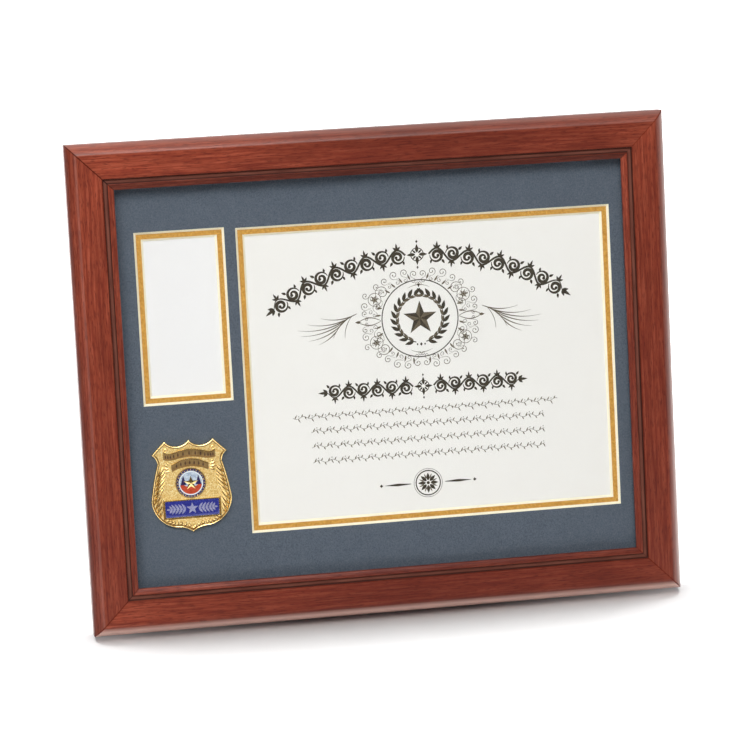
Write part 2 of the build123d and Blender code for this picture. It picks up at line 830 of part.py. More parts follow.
eyelets = [
    ("ribbon_board_eyelet", board_eyelet_plane, back_board_thickness),
    ("ribbon_leg_eyelet", leg_eyelet_plane, leg_thickness),
]
for eyelet_name, eyelet_plane, grip in eyelets:
    with BuildPart() as eyelet:
        with BuildSketch(eyelet_plane.offset(ribbon_thickness)):
            Circle(eyelet_radius)
        extrude(amount=-(ribbon_thickness + grip))
        with BuildSketch(eyelet_plane.offset(ribbon_thickness)):
            Circle(eyelet_head_radius)
        extrude(amount=eyelet_head_height)
    save(eyelet, eyelet_name)
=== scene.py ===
import math

import bpy
import numpy as np
from mathutils import Matrix, Vector


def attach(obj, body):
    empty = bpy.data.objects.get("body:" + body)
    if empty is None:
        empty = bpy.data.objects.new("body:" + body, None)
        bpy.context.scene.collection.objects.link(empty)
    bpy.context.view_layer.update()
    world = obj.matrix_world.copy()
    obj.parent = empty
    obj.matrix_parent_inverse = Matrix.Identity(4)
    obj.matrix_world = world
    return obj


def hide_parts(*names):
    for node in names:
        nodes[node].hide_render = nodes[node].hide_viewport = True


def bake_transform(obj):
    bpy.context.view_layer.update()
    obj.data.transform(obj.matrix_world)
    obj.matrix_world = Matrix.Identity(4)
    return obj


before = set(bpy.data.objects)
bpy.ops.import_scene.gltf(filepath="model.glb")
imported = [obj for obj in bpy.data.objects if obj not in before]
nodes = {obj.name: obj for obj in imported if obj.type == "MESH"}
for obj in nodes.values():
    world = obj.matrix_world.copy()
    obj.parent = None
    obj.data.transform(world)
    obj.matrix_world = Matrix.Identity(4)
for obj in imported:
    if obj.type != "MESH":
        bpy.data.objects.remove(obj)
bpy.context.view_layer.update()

# Places on the leaning frame, in millimetres across, up and deep as in the part's source
LEAN = math.radians(16.0)
CORNER = np.array([0.0, -63.0993, 5.22884])
ACROSS = np.array([1.0, 0.0, 0.0])
UPWARD = np.array([0.0, math.sin(LEAN), math.cos(LEAN)])
BACKWARD = np.array([0.0, math.cos(LEAN), -math.sin(LEAN)])
FACE_AXES = (CORNER, ACROSS, UPWARD, BACKWARD)

FRAME_WIDTH = 406.4
FRAME_HEIGHT = 330.2
FRAME_DEPTH = 18.97
HALF_WIDTH = FRAME_WIDTH / 2
LIP = 31.0
RABBET = 24.6
GLASS_FRONT = 4.4
MAT_FRONT = 9.4
INNER_MAT_FRONT = 10.9
PAPER_FRONT = 12.4
PAPER_THICKNESS = 0.25
MAT_THICKNESS = 1.5
GOLD_REVEAL = 3.3
PACK_INSET = 25.4
# Windows: middle across and up, width and height
CERTIFICATE = (35.8, 164.9, 256.4, 207.0)
MEDAL = (-130.2, 211.2, 60.6, 116.6)
CERTIFICATE_SHEET = (254.0, 203.2)
MEDAL_CARD = (58.2, 112.8)
BADGE = (-132.2, 97.3)
MM = 0.001


def corners(left, right, low, high):
    """A rectangle's corners, anticlockwise from the lower left."""
    return [(left, low), (right, low), (right, high), (left, high)]


def box(centre, width, height):
    x, y = centre
    return corners(x - width / 2, x + width / 2, y - height / 2, y + height / 2)


def circle(radius, centre=(0.0, 0.0), steps=72, closed=False):
    """Points round a circle, with the first one again at the end when it is closed."""
    return [(centre[0] + radius * math.cos(a), centre[1] + radius * math.sin(a))
            for a in np.linspace(0, 2 * math.pi, steps + closed, endpoint=closed)]


def turned(point, angle, base=(0.0, 0.0)):
    """A point turned clockwise by an angle in degrees, then moved to its base."""
    a = math.radians(angle)
    return (base[0] + point[0] * math.cos(a) + point[1] * math.sin(a),
            base[1] - point[0] * math.sin(a) + point[1] * math.cos(a))


def at_depth(points, depth):
    return [(*point, depth) for point in points]


def to_world(points, axes=FACE_AXES):
    """Turn rows of across, up and deep along these axes into metres in the shared frame."""
    origin, x_axis, y_axis, z_axis = axes
    points = np.asarray(points, float)
    return (origin + points[:, :1] * x_axis + points[:, 1:2] * y_axis + points[:, 2:3] * z_axis) * MM


def new_object(name, data):
    made = bpy.data.objects.new(name, data)
    bpy.context.scene.collection.objects.link(made)
    return made


class Shape:
    """Points and faces gathered piece by piece before they become one mesh."""

    def __init__(self):
        self.points = []
        self.faces = []
        self.parts = []
        self.marks = []
        self.maps = []

    def add(self, points, faces, part=0, marks=None, maps=None):
        start = len(self.points)
        self.points += [tuple(float(v) for v in point) for point in points]
        self.faces += [tuple(start + int(i) for i in face) for face in faces]
        self.parts += list(part) if isinstance(part, (list, tuple)) else [part] * len(faces)
        self.marks += list(marks) if marks is not None else [0.0] * len(points)
        self.maps += list(maps) if maps is not None else [(p[0] * MM, p[1] * MM) for p in points]

    def cap(self, points, part=0, flip=False):
        """One flat face through points."""
        face = tuple(range(len(points)))
        self.add(points, [face[::-1] if flip else face], part)

    def grid(self, rows, part=0, closed=False):
        """Skin a list of rows that all have the same number of points."""
        count = len(rows[0])
        points = [p for row in rows for p in row]
        faces = []
        for r in range(len(rows) - 1):
            for c in range(count if closed else count - 1):
                n = (c + 1) % count
                faces.append((r * count + c, r * count + n, (r + 1) * count + n, (r + 1) * count + c))
        self.add(points, faces, part)

    def build(self, name, materials, slot, body="frame", replaces=(), axes=FACE_AXES, angle=30.0, tones=None):
        """Make one object of it, sharp where its faces meet at more than the angle in degrees."""
        mesh = bpy.data.meshes.new(name)
        mesh.from_pydata(to_world(self.points, axes).tolist(), [], self.faces)
        mesh.polygons.foreach_set("material_index", self.parts)
        layer = mesh.uv_layers.new(name="surface")
        loop_points = np.zeros(len(mesh.loops), int)
        mesh.loops.foreach_get("vertex_index", loop_points)
        layer.data.foreach_set("uv", np.asarray(self.maps, float)[loop_points].ravel())
        for key, values in (("mark", self.marks), ("tone", tones)):
            if values:
                mesh.attributes.new(key, "FLOAT", "POINT").data.foreach_set("value", values)
        mesh.validate()
        mesh.polygons.foreach_set("use_smooth", [True] * len(mesh.polygons))
        mesh.set_sharp_from_angle(angle=math.radians(angle))
        piece = new_object(name, mesh)
        for material in materials:
            mesh.materials.append(material)
        if body:
            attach(piece, body)
        if replaces:
            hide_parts(*replaces)
        return piece


def srgb(red, green, blue):
    """A colour given as 0 to 255, as a linear value for a socket."""
    channels = []
    for value in (red / 255, green / 255, blue / 255):
        channels.append(value / 12.92 if value <= 0.04045 else ((value + 0.055) / 1.055) ** 2.4)
    return (*channels, 1.0)


class Nodes:
    """Shader nodes made and linked in one tree."""

    def __init__(self, tree):
        self.tree = tree

    def feed(self, socket, value):
        if isinstance(value, bpy.types.NodeSocket):
            self.tree.links.new(value, socket)
        else:
            socket.default_value = value

    def node(self, kind, output=0, inputs=None, **settings):
        made = self.tree.nodes.new(kind)
        for key, value in settings.items():
            setattr(made, key, value)
        for key, value in (inputs or {}).items():
            self.feed(made.inputs[key], value)
        return made.outputs[output]

    def maths(self, operation, a, b=0.5):
        return self.node("ShaderNodeMath", inputs={0: a, 1: b}, operation=operation)

    def vector(self, operation, a, b=(0.0, 0.0, 0.0), output=0):
        return self.node("ShaderNodeVectorMath", output, {0: a, 1: b}, operation=operation)

    def blended(self, share, low, high):
        """A value between low and high by a share from 0 to 1."""
        return self.node("ShaderNodeMix", inputs={0: share, 2: low, 3: high})

    def ray(self, kind):
        return self.node("ShaderNodeLightPath", f"Is {kind} Ray")


class Finish(Nodes):
    """A material, built up from nodes that feed its one surface shader."""

    def __init__(self, name, **values):
        self.material = bpy.data.materials.new(name)
        self.material.use_nodes = True
        super().__init__(self.material.node_tree)
        self.surface = self.tree.nodes["Principled BSDF"]
        self.set(**values)

    def set(self, **values):
        names = {"color": "Base Color", "specular": "Specular IOR Level", "coat": "Coat Weight",
                 "coat_roughness": "Coat Roughness", "sheen": "Sheen Weight"}
        for key, value in values.items():
            self.feed(self.surface.inputs[names.get(key, key.capitalize())], value)
        return self

    def place(self, scale=(1, 1, 1), by="Object"):
        """Coordinates in metres, stretched by scale."""
        source = self.node("ShaderNodeTexCoord", by)
        return self.node("ShaderNodeMapping", inputs={"Vector": source, "Scale": scale})

    def noise(self, size, detail=3.0, roughness=0.55, where=None):
        """Noise with spots of about this size in millimetres."""
        vector = where if where is not None else self.place()
        values = {"Vector": vector, "Scale": 1 / MM / size, "Detail": detail, "Roughness": roughness}
        return self.node("ShaderNodeTexNoise", "Fac", values)

    def grain(self, along, across, *noise):
        """Noise on a rail's own map, stretched along or across it."""
        return self.noise(*noise, where=self.place((along, across, 1.0), "UV"))

    def ramp(self, value, *stops):
        made = self.tree.nodes.new("ShaderNodeValToRGB")
        self.feed(made.inputs[0], value)
        elements = made.color_ramp.elements
        while len(elements) < len(stops):
            elements.new(0.5)
        for element, (position, color) in zip(elements, stops):
            element.position = position
            element.color = color if isinstance(color, tuple) else (color, color, color, 1.0)
        return made.outputs[0]

    def mix(self, share, a, b, mode="MIX"):
        """Two colours, mixed by a share or laid over each other."""
        settings = {"data_type": "RGBA", "blend_type": mode}
        return self.node("ShaderNodeMix", 2, {0: share, 6: a, 7: b}, **settings)

    def overlay(self, share, color, value, low, high):
        """The colour made darker and lighter by a ramp of a value between two stops."""
        return self.mix(share, color, self.ramp(value, low, high), "OVERLAY")

    def mark(self, name="mark"):
        return self.node("ShaderNodeAttribute", "Fac", attribute_name=name)

    def bump(self, height, depth, strength=1.0):
        """Relief of this depth in millimetres."""
        values = {"Strength": strength, "Distance": depth * MM, "Height": height}
        return self.set(normal=self.node("ShaderNodeBump", inputs=values))


def wood_finish():
    """Cherry-stained wood under a satin lacquer, with the grain along each rail, darkened by the rails' stain and
    painted shade and lightened by their painted sheen.
    """
    f = Finish("cherry_lacquer", coat_roughness=0.16)
    flat = f.place(by="UV")
    wander = f.grain(0.7, 2.0, 40.0, 2.0)
    bent = f.vector("ADD", flat, f.vector("MULTIPLY", wander, (0.0, 0.0016, 0.0)))

    def along(stretch, size, detail, roughness=0.6):
        scaled = f.node("ShaderNodeMapping", inputs={"Vector": bent, "Scale": (1.0 / stretch, 1.0, 1.0)})
        return f.noise(size, detail, roughness, scaled)

    streaks = along(26.0, 1.5, 4.0, 0.66)
    bands = along(14.0, 6.0, 3.0)
    dashes = along(9.0, 0.75, 2.0, 0.6)
    patches = f.grain(0.6, 1.2, 24.0, 3.0, 0.6)
    color = f.ramp(streaks, (0.36, srgb(119, 45, 30)), (0.5, srgb(145, 64, 43)), (0.64, srgb(166, 83, 61)))
    color = f.overlay(0.4, color, bands, (0.36, 0.38), (0.62, 0.6))
    color = f.overlay(0.36, color, patches, (0.38, 0.36), (0.62, 0.6))
    color = f.mix(f.ramp(dashes, (0.53, 0.0), (0.63, 0.62)), color, srgb(84, 29, 19))
    # Painted shade: each rail's face is darker along it where less light falls, by its tone attribute
    color = f.mix(f.mark("tone"), color, srgb(68, 17, 11))
    # Below 0 the mark is a painted sheen: pale pink lacquer that stands in for the white floor's reflection on the
    # outer edges and for a highlight on the ridge
    painted_sheen = f.ramp(f.maths("MULTIPLY", f.mark(), -1.0), (0.0, 0.0), (1.0, 1.0))
    color = f.mix(painted_sheen, color, srgb(228, 184, 170))
    # Above 0 the mark darkens: stain at the mitres and in the groove, with painted shade in the groove, on the strip
    # inside it and down the left rail's outer edge
    stain_and_shade_share = f.maths("MAXIMUM", f.maths("MULTIPLY", f.mark(), 0.85), 0.0)
    color = f.mix(stain_and_shade_share, color, srgb(43, 18, 14))
    sheen_or_stain_and_shade = f.maths("ADD", f.maths("MULTIPLY", f.mark(), 0.5), 0.5)
    f.set(color=color, roughness=f.ramp(streaks, (0.3, 0.4), (0.7, 0.27)),
          specular=f.ramp(sheen_or_stain_and_shade, (0.0, 1.0), (0.5, 0.27), (0.6, 0.1)),
          coat=f.ramp(stain_and_shade_share, (0.0, 0.04), (0.2, 0.0)))
    height = f.mix(0.4, f.ramp(dashes, (0.5, 1.0), (0.66, 0.0)), streaks)
    return f.bump(height, 0.05, 0.45).material


def groove_finish():
    """The groove's floor in thin brown stain, nearly black along both its sides: stain there, with painted shade
    where the walls would shade it.
    """
    f = Finish("groove_stain_and_painted_shade", roughness=0.7, specular=0.15)
    rubbed = f.grain(0.1, 1.0, 2.4, 4.0)
    open_floor = f.ramp(rubbed, (0.35, srgb(100, 54, 43)), (0.65, srgb(134, 79, 64)))
    gathered_stain_and_shade = f.maths("ADD", f.mark(), f.maths("MULTIPLY", rubbed, 0.25))
    f.set(color=f.mix(f.ramp(gathered_stain_and_shade, (0.2, 0.0), (0.85, 1.0)), open_floor, srgb(47, 22, 16)))
    return f.bump(rubbed, 0.04).material


def raw_wood_finish():
    """Bare wood of the rabbet and the back, with fine pores along it and faint saw marks across."""
    f = Finish("bare_wood", roughness=0.75)
    streaks = f.grain(0.03, 1.0, 1.3, 5.0, 0.62)
    bands = f.grain(0.06, 1.0, 7.0, 3.0, 0.6)
    pores = f.grain(0.08, 1.0, 0.55, 2.0, 0.6)
    saw = f.grain(1.0, 0.04, 2.6, 2.0)
    color = f.ramp(streaks, (0.34, srgb(184, 141, 95)), (0.66, srgb(234, 193, 143)))
    color = f.overlay(0.35, color, bands, (0.36, 0.36), (0.64, 0.62))
    color = f.mix(f.ramp(pores, (0.56, 0.0), (0.66, 0.5)), color, srgb(129, 91, 56))
    f.set(color=f.overlay(0.08, color, saw, (0.3, 0.35), (0.7, 0.65)))
    return f.bump(f.mix(0.3, streaks, saw), 0.1).material


def board_finish(name, dark, light, roughness=0.9, fleck=0.35, relief=0.03, specular=0.3):
    """Paper or card: two close tones in fine flecks, with a fibrous tooth."""
    f = Finish(name, roughness=roughness, specular=specular)
    flecks = f.noise(fleck, 3.0, 0.7)
    cloud = f.noise(9.0, 3.0, 0.6)
    color = f.ramp(flecks, (0.34, srgb(*dark)), (0.66, srgb(*light)))
    f.set(color=f.overlay(0.12, color, cloud, (0.3, 0.35), (0.7, 0.65)))
    return f.bump(flecks, relief).material


def metal_finish(name, color, tarnish, roughness, relief=0.01, brush=(1.0, 1.0, 1.0)):
    """Plated or polished metal with fine brushing and a little tarnish."""
    f = Finish(name, metallic=1.0)
    scratches = f.noise(0.5, 4.0, 0.65, f.place(brush))
    cloud = f.noise(4.0, 3.0, 0.6)
    f.set(color=f.mix(f.ramp(cloud, (0.45, 0.0), (0.75, 0.6)), srgb(*color), srgb(*tarnish)))
    f.set(roughness=f.ramp(scratches, (0.3, roughness * 0.75), (0.7, roughness * 1.3)))
    return f.bump(scratches, relief).material


def enamel_finish(name, speck, *tones):
    """Glassy enamel with faint specks, whose tones are the stops of a ramp."""
    f = Finish(name, roughness=0.14, coat=0.6, coat_roughness=0.05)
    specks = f.noise(speck, 3.0, 0.7)
    f.set(color=f.ramp(specks, *((position, srgb(*tone)) for position, tone in tones)))
    return f.bump(f.noise(1.6, 2.0), 0.02).material


def plain_finish(name, dark, light, size, roughness, relief):
    """Two close tones in a grain of one size."""
    f = Finish(name, roughness=roughness)
    grain = f.noise(size, 4.0, 0.6)
    f.set(color=f.ramp(grain, (0.3, srgb(*dark)), (0.7, srgb(*light))))
    return f.bump(grain, relief).material


def stippled_gilt():
    """Bright gilt whose ground is struck all over with small dents."""
    f = Finish("gilt_stippled", metallic=0.82)
    cells = f.node("ShaderNodeTexVoronoi", "Distance", {"Vector": f.place(), "Scale": 2100.0})
    uneven = f.noise(0.9, 3.0, 0.65)
    tones = (0.34, srgb(214, 168, 90)), (0.5, srgb(244, 206, 128)), (0.64, srgb(255, 240, 190))
    f.set(color=f.ramp(uneven, *tones))
    f.set(roughness=f.ramp(cells, (0.1, 0.56), (0.6, 0.44)))
    return f.bump(f.mix(0.4, cells, uneven), 0.12, 0.9).material


def print_finish(name, dark, light):
    """Ink on paper, a little thin in places."""
    f = Finish(name, roughness=0.75, specular=0.25)
    thin = f.noise(0.7, 3.0, 0.6)
    f.set(color=f.ramp(thin, (0.35, srgb(*dark)), (0.75, srgb(*light))))
    return f.material


GLASS_GLOSS = 0.9


def glass_finish():
    """Clear pane: light passes straight through, and its front mirrors a little for both of its faces."""
    f = Finish("clear_glass", roughness=0.02, color=(1, 1, 1, 1))
    roughness = f.ramp(f.noise(60.0, 2.0), (0.4, 0.02), (0.7, 0.05))
    gloss = f.node("ShaderNodeBsdfGlossy", inputs={"Color": (1, 1, 1, 1), "Roughness": roughness})
    clear = f.node("ShaderNodeBsdfTransparent", inputs={"Color": (0.985, 0.99, 0.988, 1)})
    fresnel = f.node("ShaderNodeFresnel", inputs={"IOR": 1.45})
    backfacing = f.node("ShaderNodeNewGeometry", "Backfacing")
    outside = f.maths("SUBTRACT", GLASS_GLOSS, f.maths("MULTIPLY", backfacing, GLASS_GLOSS))
    share = f.maths("MULTIPLY", fresnel, outside)
    both = f.node("ShaderNodeMixShader", inputs={0: share, 1: clear, 2: gloss})
    output = next(n for n in f.tree.nodes if n.type == "OUTPUT_MATERIAL")
    f.feed(output.inputs["Surface"], both)
    return f.material


# Finishes, with their colours from 0 to 255
WOOD = wood_finish()
GROOVE = groove_finish()
BARE_WOOD = raw_wood_finish()
BLUE_FACE = board_finish("mat_blue", (75, 84, 96), (100, 107, 118), 0.9, 0.9, 0.03, 0.2)
GOLD_FACE = board_finish("mat_gold", (184, 127, 42), (220, 167, 76), 0.5, 1.4, 0.03, 0.5)
MAT_CORE = board_finish("mat_core", (240, 228, 196), (255, 250, 228), 0.85, 0.3, 0.03)
PAPER = board_finish("certificate_stock", (238, 235, 231), (248, 245, 241), 0.8, 0.4, 0.008)
CARD = board_finish("card_stock", (238, 236, 236), (247, 245, 245), 0.8, 0.4, 0.008)
INK = print_finish("ink_black", (50, 43, 33), (80, 72, 59))
THIN_INK = print_finish("ink_brown", (86, 76, 60), (122, 110, 92))
GILT = metal_finish("gilt_polished", (252, 224, 158), (208, 162, 92), 0.18, 0.006)
STIPPLE = stippled_gilt()
# Dark gilt laid where shade falls on the badge: painted shade in its recesses, under its leaves and along the foot
# of its bands
PAINTED_SHADE_GILT = metal_finish("gilt_painted_shade", (144, 100, 48), (98, 66, 32), 0.5, 0.01)
BRONZE = metal_finish("bronze_toned", (172, 140, 92), (104, 76, 50), 0.42, 0.03)
DARK_BRONZE = metal_finish("bronze_dark", (104, 78, 62), (74, 54, 46), 0.45, 0.01)
INLAY = plain_finish("panel_inlay", (122, 122, 164), (174, 174, 204), 0.8, 0.4, 0.01)
NAVY = enamel_finish("enamel_navy", 0.5, (0.4, (28, 22, 62)), (0.62, (66, 54, 110)), (0.78, (150, 132, 160)))
WHITE = enamel_finish("enamel_white", 0.8, (0.3, (222, 228, 240)), (0.7, (250, 252, 255)))
PALE = enamel_finish("enamel_pale", 1.6, (0.35, (150, 168, 196)), (0.6, (214, 224, 236)), (0.8, (240, 244, 248)))
RED = enamel_finish("enamel_red", 1.2, (0.3, (178, 58, 34)), (0.7, (222, 96, 62)))
BLUE = enamel_finish("enamel_blue", 0.7, (0.3, (36, 38, 116)), (0.55, (50, 56, 148)), (0.78, (92, 98, 180)))
STEEL = metal_finish("zinc_plated", (172, 174, 176), (120, 122, 122), 0.34, brush=(0.2, 1.0, 1.0))
NICKEL = metal_finish("nickel_plated", (186, 184, 178), (128, 124, 116), 0.26, brush=(0.15, 1.0, 1.0))
BRASS = metal_finish("brass_brushed", (206, 168, 92), (150, 112, 56), 0.3, brush=(0.2, 1.0, 1.0))
BLACK_BOARD = board_finish("black_board_paper", (16, 16, 17), (40, 40, 41), 0.62, 0.7, 0.06, 0.35)
FOAM = board_finish("foam_board", (222, 222, 216), (240, 240, 235))
TAPE = board_finish("linen_tape", (214, 208, 188), (234, 229, 212), 0.9, 0.5, 0.05)
SPACER = plain_finish("spacer_black", (14, 15, 18), (26, 27, 31), 2.0, 0.6, 0.02)
RUBBER = plain_finish("bumper_rubber", (20, 20, 20), (34, 34, 33), 0.8, 0.75, 0.03)
GLASS = glass_finish()


def rounded(bends):
    """Bends as (x, y, radius, part of the edge that follows), with the round ones cut into short edges."""
    line = []
    for i, (x, y, radius, part) in enumerate(bends):
        here = np.array([x, y])
        if radius == 0:
            line.append((here, part))
            continue
        before = np.array(bends[i - 1][:2]) - here
        after = np.array(bends[(i + 1) % len(bends)][:2]) - here
        before /= np.linalg.norm(before)
        after /= np.linalg.norm(after)
        half = math.acos(np.clip(before @ after, -1, 1)) / 2
        reach = radius / math.tan(half)
        middle = here + (before + after) / np.linalg.norm(before + after) * radius / math.sin(half)
        start = here + before * reach - middle
        end = here + after * reach - middle
        turn = math.atan2(start[0] * end[1] - start[1] * end[0], start @ end)
        steps = 6 if radius > 1 else 3
        for k in range(steps + 1):
            a = turn * k / steps
            spot = np.array([start[0] * math.cos(a) - start[1] * math.sin(a),
                             start[0] * math.sin(a) + start[1] * math.cos(a)])
            line.append((middle + spot, part))
    return line


def bowed(start, end, rise, steps):
    """Points between two ends on an arc that rises to the left of the way from start to end."""
    start, end = np.array(start, float), np.array(end, float)
    chord = end - start
    length = np.linalg.norm(chord)
    side = np.array([-chord[1], chord[0]]) / length
    if abs(rise) < 1e-6:
        return [start + chord * k / steps for k in range(steps + 1)]
    radius = (length**2 / 4 + rise**2) / (2 * abs(rise))
    middle = (start + end) / 2 + side * (rise - math.copysign(radius, rise))
    a0 = math.atan2(*(start - middle)[::-1])
    a1 = math.atan2(*(end - middle)[::-1])
    sweep = (a1 - a0 + math.pi) % (2 * math.pi) - math.pi
    return [middle + radius * np.array([math.cos(a0 + sweep * k / steps), math.sin(a0 + sweep * k / steps)])
            for k in range(steps + 1)]


# Rails: one section all round, with the lacquered face, the stained groove and the bare back
FACE_PART, GROOVE_PART, BARE_PART = 0, 1, 2
GROOVE_NEAR, GROOVE_MIDDLE, GROOVE_FAR, GROOVE_FLOOR = 23.8, 25.3, 26.8, 2.2
RIDGE, SHOULDER = 6.8, 6.9
section = [(LIP, GLASS_FRONT, 0, FACE_PART), (LIP, 2.4, 0.6, FACE_PART)]
section += [(x, y, 0, FACE_PART) for x, y in bowed((28.4, 1.45), (GROOVE_FAR, 1.1), 0.52, 5)[:-1]]
section += [(GROOVE_FAR, 1.1, 0.15, GROOVE_PART), (GROOVE_FAR, GROOVE_FLOOR, 0.3, GROOVE_PART)]
section += [(x, GROOVE_FLOOR, 0, GROOVE_PART) for x in (26.2, GROOVE_MIDDLE, 24.4)]
section += [
    (GROOVE_NEAR, GROOVE_FLOOR, 0.3, GROOVE_PART),
    (GROOVE_NEAR, 0.7, 0.35, FACE_PART),
    (22.9, 0.65, 0, FACE_PART),
    (RIDGE, 0.0, 2.5, FACE_PART),
]
section += [(x, y, 0, FACE_PART) for x, y in bowed((RIDGE, 0.0), (0.0, SHOULDER), 1.0, 10)[3:-1]]
section += [
    (0.0, SHOULDER, 0.8, FACE_PART),
    (0.0, 9.0, 0, FACE_PART),
    (0.0, FRAME_DEPTH, 0.5, BARE_PART),
    (RABBET, FRAME_DEPTH, 0.4, BARE_PART),
    (RABBET, GLASS_FRONT, 0, BARE_PART),
]
section = rounded(section)


def stain_shade_or_sheen_at(inset, depth, edge, strip_shade, ridge_sheen):
    """Stain and painted light at a point of the section: stain with painted shade in and beside the groove, painted
    shade on the strip inside it and down the outer edge. Below 0 it is a painted sheen on the ridge and the outer
    edge."""
    if GROOVE_NEAR < inset < GROOVE_FAR and depth > 1.9:
        return 0.1 + 0.75 * min(1.0, abs(inset - GROOVE_MIDDLE) / 1.4) ** 3
    if GROOVE_NEAR - 0.4 < inset < GROOVE_FAR + 0.2:
        return 0.7
    if inset > GROOVE_FAR:
        return strip_shade + 0.3 * min(1.0, max(0.0, depth - 2.4))
    if abs(inset - 6.3) < 1.1 and depth < 1.2:
        return -ridge_sheen
    if inset > 6 or depth > 8:
        return 0.0
    start, span = (0.8, 3.4) if edge > 0 else (0.5, 3.2)
    return edge * min(1.0, max(0.0, (depth - start) / span))


section_run = [0.0]
for (a, _), (b, _) in zip(section, section[1:] + section[:1]):
    section_run.append(section_run[-1] + float(np.linalg.norm(b - a)))

# Each rail: name, start, direction, inward side, length, mitre stain at its ends, painted shade (above 0) or painted
# sheen (below 0) of its outer edge, painted shade of the strip inside the groove, painted highlight on the ridge,
# and how deep the painted shade of its face is along it
MITRE_LINE = 0.3
MAP_SHIFT = (0.731, 0.217)
SHARES = (0, 0.25, 0.5, 0.75, 1)
W, H = HALF_WIDTH, FRAME_HEIGHT
rails = [
    ("bottom_rail", (W, 0), (-1, 0), (0, 1), 2 * W, (0.4, 0.6), -1.7, 0.14, 0.0, (0.5, 0.6, 0.62, 0.44, 0.14)),
    ("left_rail", (-W, 0), (0, 1), (1, 0), H, (0.6, 1.0), 0.35, 0.08, 0.06, (0.4, 0.34, 0.29, 0.18, 0.1)),
    ("top_rail", (-W, H), (1, 0), (0, -1), 2 * W, (1.0, 0.3), -0.14, 0.66, 0.06, (0.0, 0.16, 0.56, 0.5, 0.3)),
    ("right_rail", (W, H), (0, -1), (-1, 0), H, (0.3, 0.4), -0.38, 0.06, 0.0, (0.1, 0.34, 0.46, 0.42, 0.4)),
]
for number, (name, start, along, side, length, joints, edge, strip_shade, ridge_sheen, painted_shade_line) in enumerate(rails):
    rail = Shape()
    count = len(section)
    points, marks, maps, tones = [], [], [], []
    rings = [(0.0, 0.0, joints[0]), (0.0, MITRE_LINE, joints[0] * 0.8), (0.0, 2.5 * MITRE_LINE, 0.0)]
    rings += [(share, 0.0, 0.0) for share in SHARES[1:-1]]
    rings += [(1.0, -2.5 * MITRE_LINE, 0.0), (1.0, -MITRE_LINE, joints[1] * 0.8), (1.0, 0.0, joints[1])]
    for share, nudge, mark in rings:
        for k in range(count + 1):
            inset, depth = section[k % count][0]
            run = inset + (length - 2 * inset) * share + nudge
            points.append((*(start[i] + along[i] * run + side[i] * inset for i in (0, 1)), depth))
            section_stain_or_light = stain_shade_or_sheen_at(inset, depth, edge, strip_shade, ridge_sheen)
            marks.append(max(mark, section_stain_or_light) if mark else section_stain_or_light)
            maps.append((run * MM + MAP_SHIFT[0] * number, section_run[k] * MM + MAP_SHIFT[1] * number))
            tones.append(float(np.interp(share, SHARES, painted_shade_line)))
    faces, parts = [], []
    for ring in range(len(rings) - 1):
        for k in range(count):
            a, b = ring * (count + 1) + k, (ring + 1) * (count + 1) + k
            faces.append((a, a + 1, b + 1, b))
            parts.append(section[k][1])
    last = (len(rings) - 1) * (count + 1)
    faces += [tuple(range(count))[::-1], tuple(range(last, last + count))]
    rail.add(points, faces, parts + [BARE_PART, BARE_PART], marks, maps)
    rail.build(name + "_moulding", [WOOD, GROOVE, BARE_WOOD], "wood_moulding", replaces=[name], tones=tones)


def mat_board(name, depth, shrink, face, slot, node):
    """A mat with a coloured front, white core and two windows cut at 45 degrees."""
    mat = Shape()
    outside = (-HALF_WIDTH + PACK_INSET, HALF_WIDTH - PACK_INSET, PACK_INSET, FRAME_HEIGHT - PACK_INSET)
    windows = []
    for across, up, width, height in (MEDAL, CERTIFICATE):
        w, h = (width - shrink) / 2, (height - shrink) / 2
        windows.append((across - w, across + w, up - h, up + h))
    for back in (0, 1):
        at = depth + back * MAT_THICKNESS
        draw = back * MAT_THICKNESS
        holes = [(a + draw, b - draw, c + draw, d - draw) for a, b, c, d in windows]
        xs = sorted({*outside[:2], *(v for hole in holes for v in hole[:2])})
        ys = sorted({*outside[2:], *(v for hole in holes for v in hole[2:])})
        faces = []
        for j in range(len(ys) - 1):
            for i in range(len(xs) - 1):
                x, y = (xs[i] + xs[i + 1]) / 2, (ys[j] + ys[j + 1]) / 2
                if any(a < x < b and c < y < d for a, b, c, d in holes):
                    continue
                low, high = j * len(xs) + i, (j + 1) * len(xs) + i
                quad = (low, low + 1, high + 1, high)
                faces.append(quad[::-1] if back else quad)
        mat.add([(x, y, at) for y in ys for x in xs], faces, back)
    for a, b, c, d in windows:
        # The cut's front corner is a little crushed
        cuts = ((0.0, 0.0), (0.16, 0.10), (MAT_THICKNESS, MAT_THICKNESS))
        rows = [at_depth(corners(a + pull, b - pull, c + pull, d - pull), depth + deep) for pull, deep in cuts]
        mat.grid(rows, 1, closed=True)
    mat.grid([at_depth(corners(*outside), depth + deep) for deep in (MAT_THICKNESS, 0.0)], 1, closed=True)
    mat.build(name, [face, MAT_CORE], slot, replaces=[node], angle=20)


WINDOW_STEP = 2 * (MAT_THICKNESS + GOLD_REVEAL)
mat_board("outer_mat_board", MAT_FRONT, 0.0, BLUE_FACE, "blue_mat", "outer_mat")
mat_board("inner_mat_board", INNER_MAT_FRONT, WINDOW_STEP, GOLD_FACE, "gold_mat", "inner_mat")


